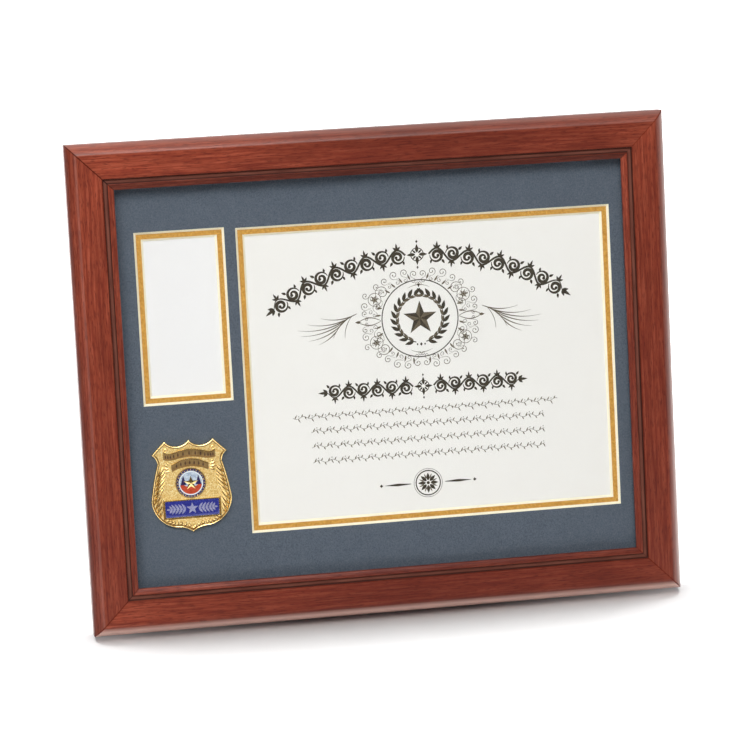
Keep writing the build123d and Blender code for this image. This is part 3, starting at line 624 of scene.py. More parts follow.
class Print:
    """Flat ornament in ink, a hair in front of a sheet, drawn through a bend where it follows a curve."""

    def __init__(self):
        self.shape = Shape()
        self.level = 0
        self.bend = lambda point: point

    def lift(self):
        """How deep the next mark lies: each one a hair in front of those before it."""
        self.level += 1
        return PAPER_FRONT - 0.02 - 0.00002 * self.level

    def polygon(self, outline, part=1):
        lift = self.lift()
        self.shape.cap([(*self.bend(p), lift) for p in outline], part)

    def stroke(self, line, widths, part=1):
        """A line whose width changes along it."""
        line = np.asarray(line, float)
        widths = np.interp(np.linspace(0, 1, len(line)), np.linspace(0, 1, len(widths)), widths)
        run = np.gradient(line, axis=0)
        run /= np.linalg.norm(run, axis=1)[:, None] + 1e-12
        side = np.stack([-run[:, 1], run[:, 0]], 1) * widths[:, None] / 2
        lift = self.lift()
        rows = [[(*self.bend(p + s), lift), (*self.bend(p - s), lift)] for p, s in zip(line, side)]
        self.shape.grid(rows, part)

    def leaf(self, base, angle, length, width, part=1, bend=0.0):
        """A pointed leaf from its base, turned by angle from straight up."""
        t = np.linspace(0, 1, 9)
        half = width / 2 * np.sin(math.pi * t**0.75)
        curve = bend * np.sin(math.pi * t / 2)
        points = [(c + h, length * v) for v, h, c in zip(t, half, curve)]
        points += [(c - h, length * v) for v, h, c in reversed(list(zip(t, half, curve))[1:-1])]
        self.polygon([turned(p, angle, base) for p in points], part)

    def scroll(self, base, angle, size, turns=1.2, width=0.5, hand=1, part=1, tail=0.0):
        """A scroll that starts at its base and winds into a round eye."""
        t = np.linspace(0, 1, 36)
        sweep = 2 * math.pi * turns * t
        radius = size * (1 - 0.78 * t)
        line = [(hand * (r * math.cos(a) - size), r * math.sin(a)) for r, a in zip(radius, sweep)]
        if tail:
            line = [(hand * tail * 0.3, -tail), (hand * tail * 0.08, -tail / 2)] + line
        line = [turned(p, angle, base) for p in line]
        self.stroke(line, [width * 0.3, width, width * 0.85, width * 0.5], part)
        self.dot(line[-1], width * 0.95, part)

    def dot(self, centre, radius, part=1, sides=12):
        self.polygon(circle(radius, centre, sides), part)

    def ring(self, centre, radius, width, part=1, steps=96):
        self.stroke(circle(radius, centre, steps, closed=True), [width], part)

    def diamond(self, centre, width, height, angle=0.0, part=1):
        tips = [(0, height / 2), (-width / 2, 0), (0, -height / 2), (width / 2, 0)]
        self.polygon([turned(p, angle, centre) for p in tips], part)


def rinceau(ink, length, bays, height):
    """A classical scroll band: from a palmette in the middle a waving stem runs out to both sides, with a spiral
    in every bay and leaves on every crest. Sizes are shares of its height."""
    start = 0.46 * height
    pitch = (length / 2 - start) / bays
    rise = 0.23 * height

    def leaf(base, angle, long, wide):
        ink.leaf(base, angle, long * height, wide * height)

    for side in (-1, 1):
        x = np.linspace(0, bays * pitch, bays * 16 + 1)
        stem = [(side * (start + v), rise * math.sin(math.pi * v / pitch)) for v in x]
        ink.stroke(stem, [0.075 * height] * 7 + [0.03 * height])
        for k in range(bays):
            up = 1 if k % 2 == 0 else -1
            middle = start + (k + 0.5) * pitch
            t = np.linspace(0, 1, 44)
            turn = math.pi + 3.0 * math.pi * t
            radius = pitch * (0.43 - 0.33 * t)
            spiral = [(side * (middle + r * math.cos(a)), up * (r * math.sin(a) - 0.05 * height))
                      for r, a in zip(radius, turn)]
            ink.stroke(spiral, [v * height for v in (0.03, 0.09, 0.135, 0.12, 0.085, 0.06)])
            ink.dot(spiral[-1], 0.062 * height)
            for tilt, size in ((-48, 0.2), (0, 0.28), (48, 0.2)):
                leaf((side * middle, up * rise), tilt if up > 0 else 180 - tilt, size, 0.085)
            leaf((side * (middle + 0.36 * pitch), -up * 0.2 * height), side * (90 + up * 52), 0.2, 0.1)
            leaf((side * (middle - 0.34 * pitch), -up * 0.22 * height), side * (90 + up * 96), 0.16, 0.085)
        for tilt, size in ((-40, 0.26), (0, 0.42), (40, 0.26)):
            leaf((side * (start + bays * pitch), 0.0), side * 90 + tilt, size, 0.12)
    for k in range(8):
        size = (0.34, 0.13) if k % 2 == 0 else (0.2, 0.07)
        leaf(turned((0.0, 0.07 * height), 45 * k), 45 * k, *size)
    ink.ring((0.0, 0.0), 0.25 * height, 0.035 * height, 1, 32)
    for side in (-1, 1):
        ink.diamond((0.0, side * 0.5 * height), 0.09 * height, 0.13 * height)


def vine(ink, start, end, level, part):
    """A fine rule to write on: a waving stem with small leaves and buds on both sides in turn."""
    def wave(x):
        return level + 0.85 * np.sin(2 * math.pi * x / 9.2)

    x = np.linspace(start, end, int((end - start) * 1.6))
    ink.stroke(list(zip(x, wave(x))), [0.28], part)
    for k, spot in enumerate(np.arange(start + 1.2, end - 1.0, 2.3)):
        up = 1 if k % 2 == 0 else -1
        ink.leaf((spot, wave(spot)), 90 - up * 62, 3.1 if k % 4 < 2 else 2.3, 0.76, part)
        if k % 4 == 1:
            ink.dot((spot + 0.4, wave(spot) - up * 1.5), 0.36, part, 7)


def emblem(ink, centre):
    """A ring, a laurel wreath and a star in two tones."""
    def at(x, y):
        return (centre[0] + x, centre[1] + y)

    ink.ring(centre, 26.2, 0.72, 1)
    for side in (-1, 1):
        for k in range(11):
            a = 162 - 15 * k
            spot = turned((0.0, 16.6), side * a, centre)
            ink.leaf(spot, side * (a - 58), 6.4, 2.5, 1)
            ink.leaf(spot, side * (a - 118), 5.4, 2.1, 2)
        branch = [turned((0.0, 16.4), side * a, centre) for a in np.linspace(168, 10, 30)]
        ink.stroke(branch, [0.7, 0.5, 0.3], 1)
        # Pen strokes above and below the wreath, inside the ring
        for level, turn, way in ((22.4, 62, 1), (-22.6, 118, -1)):
            ink.scroll(at(side * 1.4, level), side * turn, 1.5, 1.0, 0.36, side * way, 2)
            stroke = [at(side * v, level + way * (0.5 - 0.035 * v * v)) for v in np.linspace(0.4, 7.5, 9)]
            ink.stroke(stroke, [0.5, 0.3, 0.15], 2)
    for k in range(5):
        point = turned((0.0, 12.0), 72 * k, centre)
        for side in (-1, 1):
            arm = [centre, point, turned((0.0, 4.8), 72 * k + 36 * side, centre)]
            ink.polygon(arm[::side], 1 if side > 0 else 2)
    for v, size in ((0.0, 1.9), (-2.6, 1.3), (2.6, 1.3)):
        ink.diamond(at(v, -17.6), size, size * 1.3)
    ink.diamond(at(0.0, 22.6), 1.5, 3.0)


def scrollwork(ink, centre, side):
    """One side of the scrollwork round the ring: double spirals, a rosette, curled leaves and half a knot, above
    and below."""
    for high in (-1, 1):
        def at(x, y):
            return (centre[0] + side * x, centre[1] + high * y)

        def turn_of(angle):
            return side * (angle if high > 0 else 180 - angle)

        hand = side * high
        for x, y, angle, size, curls, tail in (
            (3.6, 27.6, 76, 2.7, 1.2, 2.2), (9.4, 28.6, 92, 2.9, 1.25, 2.6), (15.6, 27.4, 112, 3.1, 1.3, 3.0),
            (21.6, 24.4, 128, 2.7, 1.2, 3.0), (27.6, 21.0, 120, 2.6, 1.1, 2.4), (27.2, 14.6, 68, 4.9, 1.7, 2.6),
            (34.8, 16.4, 150, 2.4, 1.1, 2.6), (30.6, 6.4, 62, 3.2, 1.3, 2.2), (35.6, 8.2, 128, 3.0, 1.3, 2.6),
            (37.6, 3.4, 96, 2.2, 1.1, 2.4),
        ):
            ink.scroll(at(x, y), turn_of(angle), size, curls, 0.46, hand, 2, tail)
            ink.scroll(at(x - 0.5, y - 0.4), turn_of(angle + 176), size * 0.62, 1.0, 0.36, hand, 2)
        rosette = at(30.6, 14.6)
        ink.ring(rosette, 4.4, 0.36, 2, 40)
        ink.ring(rosette, 1.5, 0.42, 2, 24)
        for k in range(6):
            ink.leaf(rosette, 60 * k + 18, 3.4, 0.9, 2)
        for a in (12, 24, 36, 47, 72, 82):
            ink.leaf(turned((0.0, 27.0), turn_of(a), centre), turn_of(a), 4.6, 1.2, 2, 0.7 * side)
        line = [at(27.0 + 15.5 * v, 2.4 * math.sin(math.pi * v) + 0.2) for v in np.linspace(0, 1, 16)]
        ink.stroke(line, [0.3, 0.75, 0.3], 2)
    ink.diamond((centre[0] + side * 42.6, centre[1]), 4.4, 2.0, 0, 2)


def flourish(ink, centre, side):
    """Pen flourishes on one side: a stem that falls outward, and long strokes that sweep from it."""
    def at(x, y):
        return (centre[0] + side * x, centre[1] + y)

    stem = bowed(at(43.0, 6.0), at(60.0, -9.5), side * 2.6, 20)
    ink.stroke(stem, [0.2, 0.6, 0.75, 0.5, 0.2], 2)
    for share, far, drop, sag in (
        (0.02, 68.0, 4.4, -2.4), (0.12, 77.0, 0.8, -3.2), (0.26, 84.0, -2.8, -3.4), (0.4, 82.0, -6.8, -2.8),
        (0.56, 77.0, -10.4, -2.2), (0.74, 70.0, -13.2, -1.4),
    ):
        line = bowed(stem[int(share * 20)], at(far, drop), side * sag, 20)
        ink.stroke(line, [0.22, 0.75, 0.62, 0.34, 0.12], 2)
    ink.stroke(bowed(stem[3], at(52.0, -10.0), side * 1.6, 12), [0.2, 0.5, 0.2], 2)


def rosette_rule(ink, foot):
    """A rosette between two swelling rules."""
    for k in range(8):
        ink.leaf(turned((0.0, 1.6), 45 * k, foot), 45 * k, 5.4, 2.3, 1)
        ink.leaf(turned((0.0, 3.2), 45 * k + 22.5, foot), 45 * k + 22.5, 3.6, 0.9, 2)
    ink.dot(foot, 1.1)
    ink.ring(foot, 8.4, 0.8, 1, 48)
    ink.ring(foot, 9.8, 0.3, 2, 48)
    for side in (-1, 1):
        x = np.linspace(foot[0] + side * 11.8, foot[0] + side * 30, 12)
        ink.stroke([(v, foot[1]) for v in x], [0.4, 1.8, 0.2], 1)
        ink.diamond((foot[0] + side * 32.4, foot[1]), 2.4, 2.4)


# The certificate: arched and straight bands, a wreathed star, scrolls, fine rules and a rosette
ink = Print()
sheet = box(CERTIFICATE[:2], *CERTIFICATE_SHEET)
ink.shape.cap(at_depth(sheet, PAPER_FRONT), 0)
ink.shape.cap(at_depth(sheet, PAPER_FRONT + PAPER_THICKNESS), 0, flip=True)
PRINT_MIDDLE = 30.5
ARCH_RADIUS = 175.4
straight = ink.bend
ink.bend = lambda p: turned((0.0, ARCH_RADIUS + p[1]), math.degrees(p[0] / ARCH_RADIUS), (PRINT_MIDDLE, 67.0))
rinceau(ink, 211.0, 9, 17.5)
ink.bend = lambda p: (PRINT_MIDDLE + p[0], 152.6 + p[1])
rinceau(ink, 132.0, 6, 15.5)
ink.bend = straight
EMBLEM = (PRINT_MIDDLE, 199.0)
emblem(ink, EMBLEM)
for side in (-1, 1):
    scrollwork(ink, EMBLEM, side)
    flourish(ink, EMBLEM, side)
for level, start, end in ((137.0, -60, 123), (127.2, -48, 113), (116.8, -48, 113), (106.4, -48, 113)):
    vine(ink, start, end, level, 2)
rosette_rule(ink, (PRINT_MIDDLE, 86.0))
ink.shape.build("certificate_sheet", [PAPER, INK, THIN_INK], "certificate_paper", replaces=["certificate"], angle=40)

# Card in the medal window, bare, with a faint pressed border: width, height and depth of its lines
card = Shape()
rows = [at_depth(box(MEDAL[:2], w, h), PAPER_FRONT + deep) for w, h, deep in (
    (*MEDAL_CARD, PAPER_THICKNESS), (*MEDAL_CARD, 0.0), (42.4, 98.4, 0.0), (41.8, 97.8, 0.05), (41.0, 97.0, 0.05),
    (40.4, 96.4, 0.0),
)]
card.grid(rows, 0, closed=True)
card.cap(rows[-1])
card.cap(rows[0], flip=True)
card.build("medal_card_sheet", [CARD], "card_paper", replaces=["medal_card"], angle=15)


# Badge
FIELD = 1.4
SEAL = (0.0, 2.0)
PANEL = (0.0, -15.2)


def on_badge(points, height):
    """Points on the badge, at heights above the mat."""
    heights = height if hasattr(height, "__len__") else [height] * len(points)
    return [(BADGE[0] + x, BADGE[1] + y, MAT_FRONT - h) for (x, y), h in zip(points, heights)]


TOP = 31.4
half_outline = [(0, TOP)]
for x, y, rise, steps in (
    (16.3, TOP, -4.0, 14), (25.6, TOP - 9.0, 0, 8), (21.9, TOP - 15.3, -0.9, 7), (27.3, TOP - 40.0, 0.5, 16),
    (11.3, 3.7 - TOP, 4.5, 20), (0, -TOP, -1.1, 9),
):
    half_outline += [tuple(p) for p in bowed(half_outline[-1], (x, y), rise, steps)[1:]]
outline = np.array(half_outline + [(-x, y) for x, y in half_outline[-2:0:-1]])


def inward(line, amount):
    """The closed line moved in by an amount, with mitred corners."""
    line = np.asarray(line)
    normals = []
    for run in (line - np.roll(line, 1, 0), np.roll(line, -1, 0) - line):
        run /= np.linalg.norm(run, axis=1)[:, None]
        normals.append(np.stack([run[:, 1], -run[:, 0]], 1))
    middle = normals[0] + normals[1]
    middle /= np.linalg.norm(middle, axis=1)[:, None]
    stretch = np.clip((middle * normals[0]).sum(1), 0.45, 1.0)
    return line + middle * (amount / stretch)[:, None]


# The plate's rim, the recess inside it in dark gilt as painted shade, and the domed field, each as steps inward and
# heights
plate = Shape()
for part, profile in (
    (0, ((0.0, 0.0), (0.0, 1.3), (0.1, 1.7), (0.3, 1.98), (0.6, 2.1), (0.9, 1.98), (1.1, 1.6))),
    (2, ((1.1, 1.6), (1.16, 1.25), (1.5, 1.25), (1.62, FIELD))),
):
    plate.grid([on_badge(inward(outline, step), height) for step, height in profile], part, closed=True)
inner_line = inward(outline, 1.62)
field_rows = [on_badge(inner_line, FIELD)]
for share in np.linspace(0.94, 0.0, 17):
    ring = np.array([0.0, -1.0]) * (1 - share) + inner_line * share
    field_rows.append(on_badge(ring, FIELD + 0.22 * (1 - share**2)))
plate.grid(field_rows, 1, closed=True)
plate.cap(on_badge(outline, 0.0), 0, flip=True)


def strip_between(shape, outer, inner, height, low, part=0, soften=0.12):
    """A raised closed band between two outlines, with softened edges."""
    outer, inner = np.asarray(outer, float), np.asarray(inner, float)
    pull = inner - outer
    pull /= np.linalg.norm(pull, axis=1)[:, None]
    steps = ((outer, low), (outer, height - soften), (outer + pull * soften, height),
             (inner - pull * soften, height), (inner, height - soften), (inner, low))
    shape.grid([on_badge(line, at) for line, at in steps], part, closed=True)


strip_between(plate, circle(10.2, SEAL), circle(9.66, SEAL), 2.3, 1.4)
plate.cap(on_badge(circle(9.7, SEAL), 1.9))
strip_between(plate, box(PANEL, 38.0, 12.7), box(PANEL, 36.2, 10.9), 1.98, 1.4, soften=0.2)
# Dark gilt bands at the foot of the panel's border and round the seal's boss: painted shade
strip_between(plate, box(PANEL, 39.0, 13.7), box(PANEL, 38.0, 12.7), 1.5, 1.35, 2, soften=0.05)
strip_between(plate, circle(10.42, SEAL), circle(10.2, SEAL), 1.62, 1.35, 2, soften=0.03)


def relief_leaf(shape, base, angle, length, width, height, low=FIELD + 0.02, part=0):
    """A leaf in relief with a crease along its middle and its tip a little raised."""
    rows = []
    for t in np.linspace(0, 1, 8):
        half = width / 2 * math.sin(math.pi * min(1.0, 0.08 + 0.92 * t) ** 0.8) + 0.02
        crown = height * (0.55 + 0.45 * math.sin(math.pi * t))
        profile = ((-1.0, 0.0), (-0.72, 0.8), (-0.4, 1.0), (0.0, 0.62), (0.4, 1.0), (0.72, 0.8), (1.0, 0.0))
        spots = [turned((half * x, length * t), angle, base) for x, _ in profile]
        rows.append(on_badge(spots, [low + crown * h for _, h in profile]))
    shape.grid(rows, part)


def shaded_leaf(shape, base, tip, width, height):
    """A relief leaf from base to tip, over a flat leaf of dark gilt shifted down, a painted shade that shows along
    its lower side.
    """
    run = (tip[0] - base[0], tip[1] - base[1])
    angle = math.degrees(math.atan2(run[0], run[1]))
    length = math.hypot(*run)
    painted_shade_base = (base[0] + 0.12, base[1] - 0.5)
    relief_leaf(shape, painted_shade_base, angle, length + 0.3, width + 0.55, 0.12, part=2)
    relief_leaf(shape, base, angle, length, width, height)


def relief_star(shape, centre, long, short, levels, part):
    """A star with five creased arms: the heights of its foot, its edge and its peak."""
    foot, edge, peak = levels
    line = [turned((0.0, short if k % 2 else long), 36 * k, centre) for k in range(10)]
    shape.grid([on_badge(line, foot), on_badge(line, edge)], part, closed=True)
    for k in range(10):
        shape.cap(on_badge([line[k], line[(k + 1) % 10], centre], [edge, edge, peak]), part, flip=True)


# Sprays of slender leaves that fall outward down both sides, leaves beside the lower band, and a row of small
# petals inside the lower rim: width, height, and base and tip of each
sprays = [
    (1.7, 0.62, (19.9, -12.6, 22.4, -20.2), (20.0, -9.2, 24.2, -17.8), (19.8, -5.6, 25.4, -14.8),
     (20.2, -2.4, 25.8, -11.2), (18.0, 0.6, 25.5, -8.2), (17.5, 3.4, 25.2, -5.2), (17.4, 6.2, 24.6, -1.8),
     (17.0, 8.8, 23.9, 1.4), (17.3, 11.4, 23.0, 4.6), (18.0, 13.6, 22.4, 8.0)),
    (1.15, 0.28, (13.4, 11.4, 16.6, 10.4), (13.8, 12.8, 17.4, 12.9), (13.9, 14.3, 17.2, 15.5),
     (13.9, 15.7, 15.8, 17.4)),
]
for side in (-1, 1):
    for width, height, *leaves in sprays:
        for x, y, tip_x, tip_y in leaves:
            shaded_leaf(plate, (side * x, y), (side * tip_x, tip_y), width, height)
low_rim = inward(outline, 2.1)
run = 0.0
for a, b in zip(low_rim, np.roll(low_rim, -1, 0)):
    run += float(np.linalg.norm(b - a))
    if a[1] < -21.5 and run > 1.7:
        run = 0.0
        reach = np.array([-a[0], 2.0 - a[1]])
        reach *= 2.3 / np.linalg.norm(reach)
        shaded_leaf(plate, tuple(a), tuple(a + reach), 1.7, 0.45)
plate.build("badge_plate", [GILT, STIPPLE, PAINTED_SHADE_GILT], "badge_gilt", replaces=["badge_shield"], angle=38)


def curve(half, steps=6):
    """A smooth line through points given from the middle outward, and through their mirror images."""
    points = [np.array(p, float) for p in [(-x, y) for x, y in half[:0:-1]] + half]
    points = [2 * points[0] - points[1]] + points + [2 * points[-1] - points[-2]]
    line = []
    for a, b, c, d in zip(points, points[1:], points[2:], points[3:]):
        for t in np.linspace(0, 1, steps, endpoint=False):
            square, cube = (2 * a - 5 * b + 4 * c - d) * t**2, (3 * b - a - 3 * c + d) * t**3
            line.append(0.5 * (2 * b + (c - a) * t + square + cube))
    return line + [points[-2]]


# Across a banner: shares of its width, heights, and the finish of the face that follows where it isn't bronze
BANNER_PROFILE = [(0.0, 1.42), (0.0, 1.86), (0.03, 2.06), (0.13, 2.06), (0.18, 1.84), (0.5, 1.92), (0.8, 1.84),
                  (0.86, 1.98), (0.95, 1.98), (1.0, 1.84), (1.0, 1.42)]
# Gilt on the top border's faces is a painted highlight; dark gilt on the low border's sides and the foot is painted
# shade
BANNER_HIGHLIGHT_AND_SHADE_PARTS = {1: 0, 2: 0, 6: 2, 8: 2, 9: 2}


def curl(shape, foot, side):
    """A curled end of a banner: a thin tube wound into a spiral."""
    t = np.linspace(0, 1, 30)
    wind = 2 * math.pi * 1.15 * t
    size = 1.5 * (1 - 0.62 * t)
    x = side * (0.3 - size * np.cos(wind)) - side * 1.6
    y = size * np.sin(wind) + 0.5
    tube = []
    for u, v, s in zip(x, y, t):
        out = np.array([u - x[-1], v - y[-1]])
        out = out / (np.linalg.norm(out) + 1e-9)
        section = circle(0.36 * (1 - 0.4 * s), steps=8)
        spots = [(foot[0] + u + out[0] * c, foot[1] + v + out[1] * c) for c, _ in section]
        tube.append(on_badge(spots, [1.9 + lift for _, lift in section]))
    shape.grid(tube, 0, closed=True)


def banner(name, top_half, low_half, node, curls):
    """A metal band between two edges, given from the middle outward, with a bright top border as painted highlight
    and a dark low border as painted shade, a row of small upright leaves and curled ends."""
    shape = Shape()
    top_line, low_line = curve(top_half), curve(low_half)
    rows = [on_badge([p + (q - p) * s for s, _ in BANNER_PROFILE], [h for _, h in BANNER_PROFILE])
            for p, q in zip(top_line, low_line)]
    shape.grid(rows, 1)
    shape.cap(rows[0], 1)
    shape.cap(rows[-1], 1, flip=True)
    faces_across = len(BANNER_PROFILE) - 1
    shape.parts = [BANNER_HIGHLIGHT_AND_SHADE_PARTS.get(face % faces_across, 1) for face in range(len(shape.parts))]
    for k in range(6, len(rows) - 6, 4):
        rise = top_line[k] - low_line[k]
        relief_leaf(shape, tuple(low_line[k] + rise * 0.26), math.degrees(math.atan2(*rise)),
                    float(np.linalg.norm(rise)) * 0.5, 1.1, 0.16, 1.88, 3)
    if curls:
        curl(shape, top_line[0], -1)
        curl(shape, top_line[-1], 1)
    shape.build(name, [GILT, BRONZE, PAINTED_SHADE_GILT, DARK_BRONZE], "badge_bronze", replaces=[node], angle=35)


banner("badge_upper_ribbon", [(0, 25.2), (6, 24.7), (10.5, 23.4), (13.6, 22.8), (16.0, 23.2), (17.4, 24.4)],
       [(0, 19.9), (6, 19.3), (10.5, 18.4), (13.6, 18.1), (16.0, 18.3), (17.7, 19.0)], "badge_upper_banner", True)
banner("badge_lower_ribbon", [(0, 18.7), (4.5, 18.2), (9, 16.7), (12.6, 15.0)],
       [(0, 13.3), (4.5, 12.9), (9, 11.7), (12.4, 10.2)], "badge_lower_banner", False)


def enamel_ring(name, outer, inner, high, material, slot, node, beads):
    """Enamel laid in a ring, a little domed between its two edges, with gilt beads along its middle."""
    shape = Shape()
    rows = [on_badge(circle(outer, SEAL), 1.9)]
    for t in np.linspace(0, 1, 6):
        rows.append(on_badge(circle(outer + (inner - outer) * t, SEAL), high + 0.1 * math.sin(math.pi * t)))
    rows.append(on_badge(circle(inner, SEAL), 1.9))
    shape.grid(rows, 0, closed=True)
    for k in range(beads):
        bead = turned((0.0, (outer + inner) / 2), 360 * k / beads, SEAL)
        rows = [on_badge(circle(r, bead, 8), high + h) for r, h in ((0.3, 0.02), (0.26, 0.2), (0.12, 0.26))]
        shape.grid(rows, 1, closed=True)
        shape.cap(rows[-1], 1)
    shape.build(name, [material, GILT], slot, replaces=[node], angle=40)


enamel_ring("badge_ring_enamel", 9.65, 8.3, 2.14, NAVY, "navy_enamel", "badge_seal_ring", 28)
enamel_ring("badge_band_enamel", 8.25, 7.5, 2.16, WHITE, "white_enamel", "badge_seal_band", 0)

# Field of the seal: pale above a low skyline, red below it
FIELD_RADIUS = 7.45
field = Shape()
for below in (False, True):
    rows = []
    for t in np.linspace(0, 1, 10):
        row = []
        for x in np.linspace(-7.42, 7.42, 33):
            rim_up = math.sqrt(max(FIELD_RADIUS**2 - x * x, 0.0))
            end = -rim_up if below else rim_up
            start = min(max(-1.4 + 0.7 * math.cos(x * 1.1), -rim_up), rim_up)
            row.append((x, SEAL[1] + start + (end - start) * t))
        heights = [2.2 + 0.12 * (1 - ((x**2 + (y - SEAL[1]) ** 2) / FIELD_RADIUS**2)) for x, y in row]
        rows.append(on_badge(row, heights))
    field.grid(rows if below else rows[::-1], int(below))
for side in (-1, 1):
    field.cap(on_badge([(side * 5.1, 7.4), (side * 3.1, 0.9), (side * 7.1, 0.9)], 2.36), 2)
field.build("badge_field_enamel", [PALE, RED, NAVY], "seal_enamel", replaces=["badge_seal_field"], angle=60)

star = Shape()
relief_star(star, SEAL, 5.0, 2.1, (2.2, 2.36, 2.62), 0)
star.build("badge_star", [GILT], "badge_gilt", replaces=["badge_seal_star"], angle=10)

# Blue panel with a star between two sprays of leaves in pale inlay
panel = Shape()
rows = [on_badge(box(PANEL, 36.1 - 2 * pull, 10.8 - 2 * pull), height)
        for pull, height in ((0.0, 1.42), (0.0, 1.7), (0.35, 1.78), (2.4, 1.82))]
panel.grid(rows, 0, closed=True)
panel.cap(rows[-1])
relief_star(panel, PANEL, 4.1, 1.7, (1.76, 1.92, 2.14), 1)
for side in (-1, 1):
    # Stem, leaf at its end and pairs of leaves along it: where, tilt, length, width and height
    leaves = [(4.4, 0, 11.4, 0.42, 0.2), (15.0, 0, 2.4, 1.3, 0.28)]
    for x, length in ((4.6, 4.3), (6.9, 4.3), (9.2, 4.3), (11.5, 4.3), (13.6, 3.2)):
        leaves += [(x, tilt, length, 1.5, 0.28) for tilt in (-54, 54)]
    for x, tilt, length, width, height in leaves:
        relief_leaf(panel, (side * x, PANEL[1]), side * 90 + tilt, length, width, height, 1.8, 1)
panel.build("badge_panel_enamel", [BLUE, INLAY], "blue_enamel", replaces=["badge_panel"], angle=25)

# Easel ribbon: woven tape, drawn straight between its two tabs
HINGE_UP, KNUCKLE_RADIUS, LEAF_THICKNESS, BOARD_GAP = 215.0, 2.5, 1.0, 0.4
RIBBON_DROP, RIBBON_TAB, RIBBON_THICKNESS = 140.0, 10.0, 0.4
leg_angle = math.radians(28.0) - LEAN
pin_height = KNUCKLE_RADIUS - LEAF_THICKNESS + BOARD_GAP
pivot = CORNER + UPWARD * HINGE_UP + BACKWARD * (FRAME_DEPTH + pin_height)
down_leg = np.array([0.0, math.sin(leg_angle), -math.cos(leg_angle)])
out_of_leg = np.array([0.0, math.cos(leg_angle), math.sin(leg_angle)])
leg_inner = LEAF_THICKNESS - KNUCKLE_RADIUS
drops = (RIBBON_DROP - RIBBON_TAB, RIBBON_DROP)
board_spots = [pivot - UPWARD * drop + BACKWARD * (RIBBON_THICKNESS / 2 - pin_height) for drop in drops]
leg_spots = [pivot + down_leg * drop + out_of_leg * (leg_inner - RIBBON_THICKNESS / 2) for drop in drops[::-1]]
route = board_spots + leg_spots


def woven_finish():
    """Black tape with a fine weave."""
    f = Finish("ribbon_weave", roughness=0.6, sheen=0.4)
    where = f.place(by="UV")
    warp = f.node("ShaderNodeTexWave", "Fac", {"Vector": where, "Scale": 520.0}, bands_direction="Y")
    weft = f.node("ShaderNodeTexWave", "Fac", {"Vector": where, "Scale": 380.0}, bands_direction="X")
    weave = f.mix(0.5, warp, weft)
    f.set(color=f.ramp(weave, (0.3, srgb(12, 12, 13)), (0.7, srgb(40, 40, 43))))
    return f.bump(weave, 0.06).material


ribbon = Shape()
spots = []
for a, b in zip(route, route[1:]):
    steps = max(3, int(np.linalg.norm(b - a) / 2.5))
    spots += [a + (b - a) * k / steps for k in range(steps)]
spots = np.array(spots + [route[-1]])
for _ in range(2):
    spots[1:-1] = (spots[:-2] + 2 * spots[1:-1] + spots[2:]) / 4
walked = np.concatenate([[0.0], np.cumsum(np.linalg.norm(np.diff(spots, axis=0), axis=1))])
length = float(walked[-1])
run = np.gradient(spots, axis=0)
run /= np.linalg.norm(run, axis=1)[:, None]
normals = np.cross(np.tile(ACROSS, (len(spots), 1)), run)
edge = [(-6.0, 0.0), *((x, 0.17) for x in (-5.8, 0.0, 5.8)), (6.0, 0.0), *((x, -0.17) for x in (5.8, 0.0, -5.8))]
rows = [[spot + ACROSS * x + normal * n for x, n in edge] for spot, normal in zip(spots, normals)]
ribbon.grid(rows, 0, closed=True)
ribbon.maps = [(at * MM, x * MM) for at in walked for x, _ in edge]
last = len(ribbon.points)
ribbon.faces += [tuple(range(8))[::-1], tuple(range(last - 8, last))]
ribbon.parts += [0, 0]
IDENTITY = (np.zeros(3), *np.eye(3))
strap = ribbon.build("easel_ribbon_weave", [woven_finish()], "black_ribbon", body=None,
                     replaces=["easel_ribbon"], axes=IDENTITY, angle=60)
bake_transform(strap)

# CAD nodes that show as they are: their finish, how far their edges are broken in millimetres, and their names
kept = [
    (GLASS, 0.0, "glass_pane"),
    (SPACER, 0.0, "spacer_top", "spacer_bottom", "spacer_left", "spacer_right"),
    (TAPE, 0.0, "mounting_tape"),
    (FOAM, 0.0, "filler_board"),
    (BLACK_BOARD, 0.3, "back_board"),
    (BLACK_BOARD, 0.35, "easel_leg"),
    (GILT, 0.0, "badge_posts"),
    (STEEL, 0.0, "corner_v_nails", "hinge_pin"),
    (STEEL, 0.12, "sawtooth_hanger"),
    (STEEL, 0.15, "hanger_nails"),
    (NICKEL, 0.0, "hinge_board_rivets", "hinge_leg_rivets"),
    (NICKEL, 0.12, "hinge_board_leaf", "hinge_leg_leaf"),
    (BRASS, 0.15, "badge_post_nuts", "turn_button_screws"),
    (BRASS, 0.2, "ribbon_board_eyelet", "ribbon_leg_eyelet", *(f"turn_button_{n}" for n in range(1, 7))),
    (RUBBER, 0.4, "wall_bumpers"),
]
for material, edge, name in [(*row[:2], name) for row in kept for name in row[2:]]:
    node = nodes[name]
    node.data.materials.clear()
    node.data.materials.append(material)
    if edge:
        bevel = node.modifiers.new("edge", "BEVEL")
        bevel.width = edge * MM
        bevel.segments = 2
        bevel.limit_method = "ANGLE"
        bevel.angle_limit = math.radians(40)
        bevel.harden_normals = True


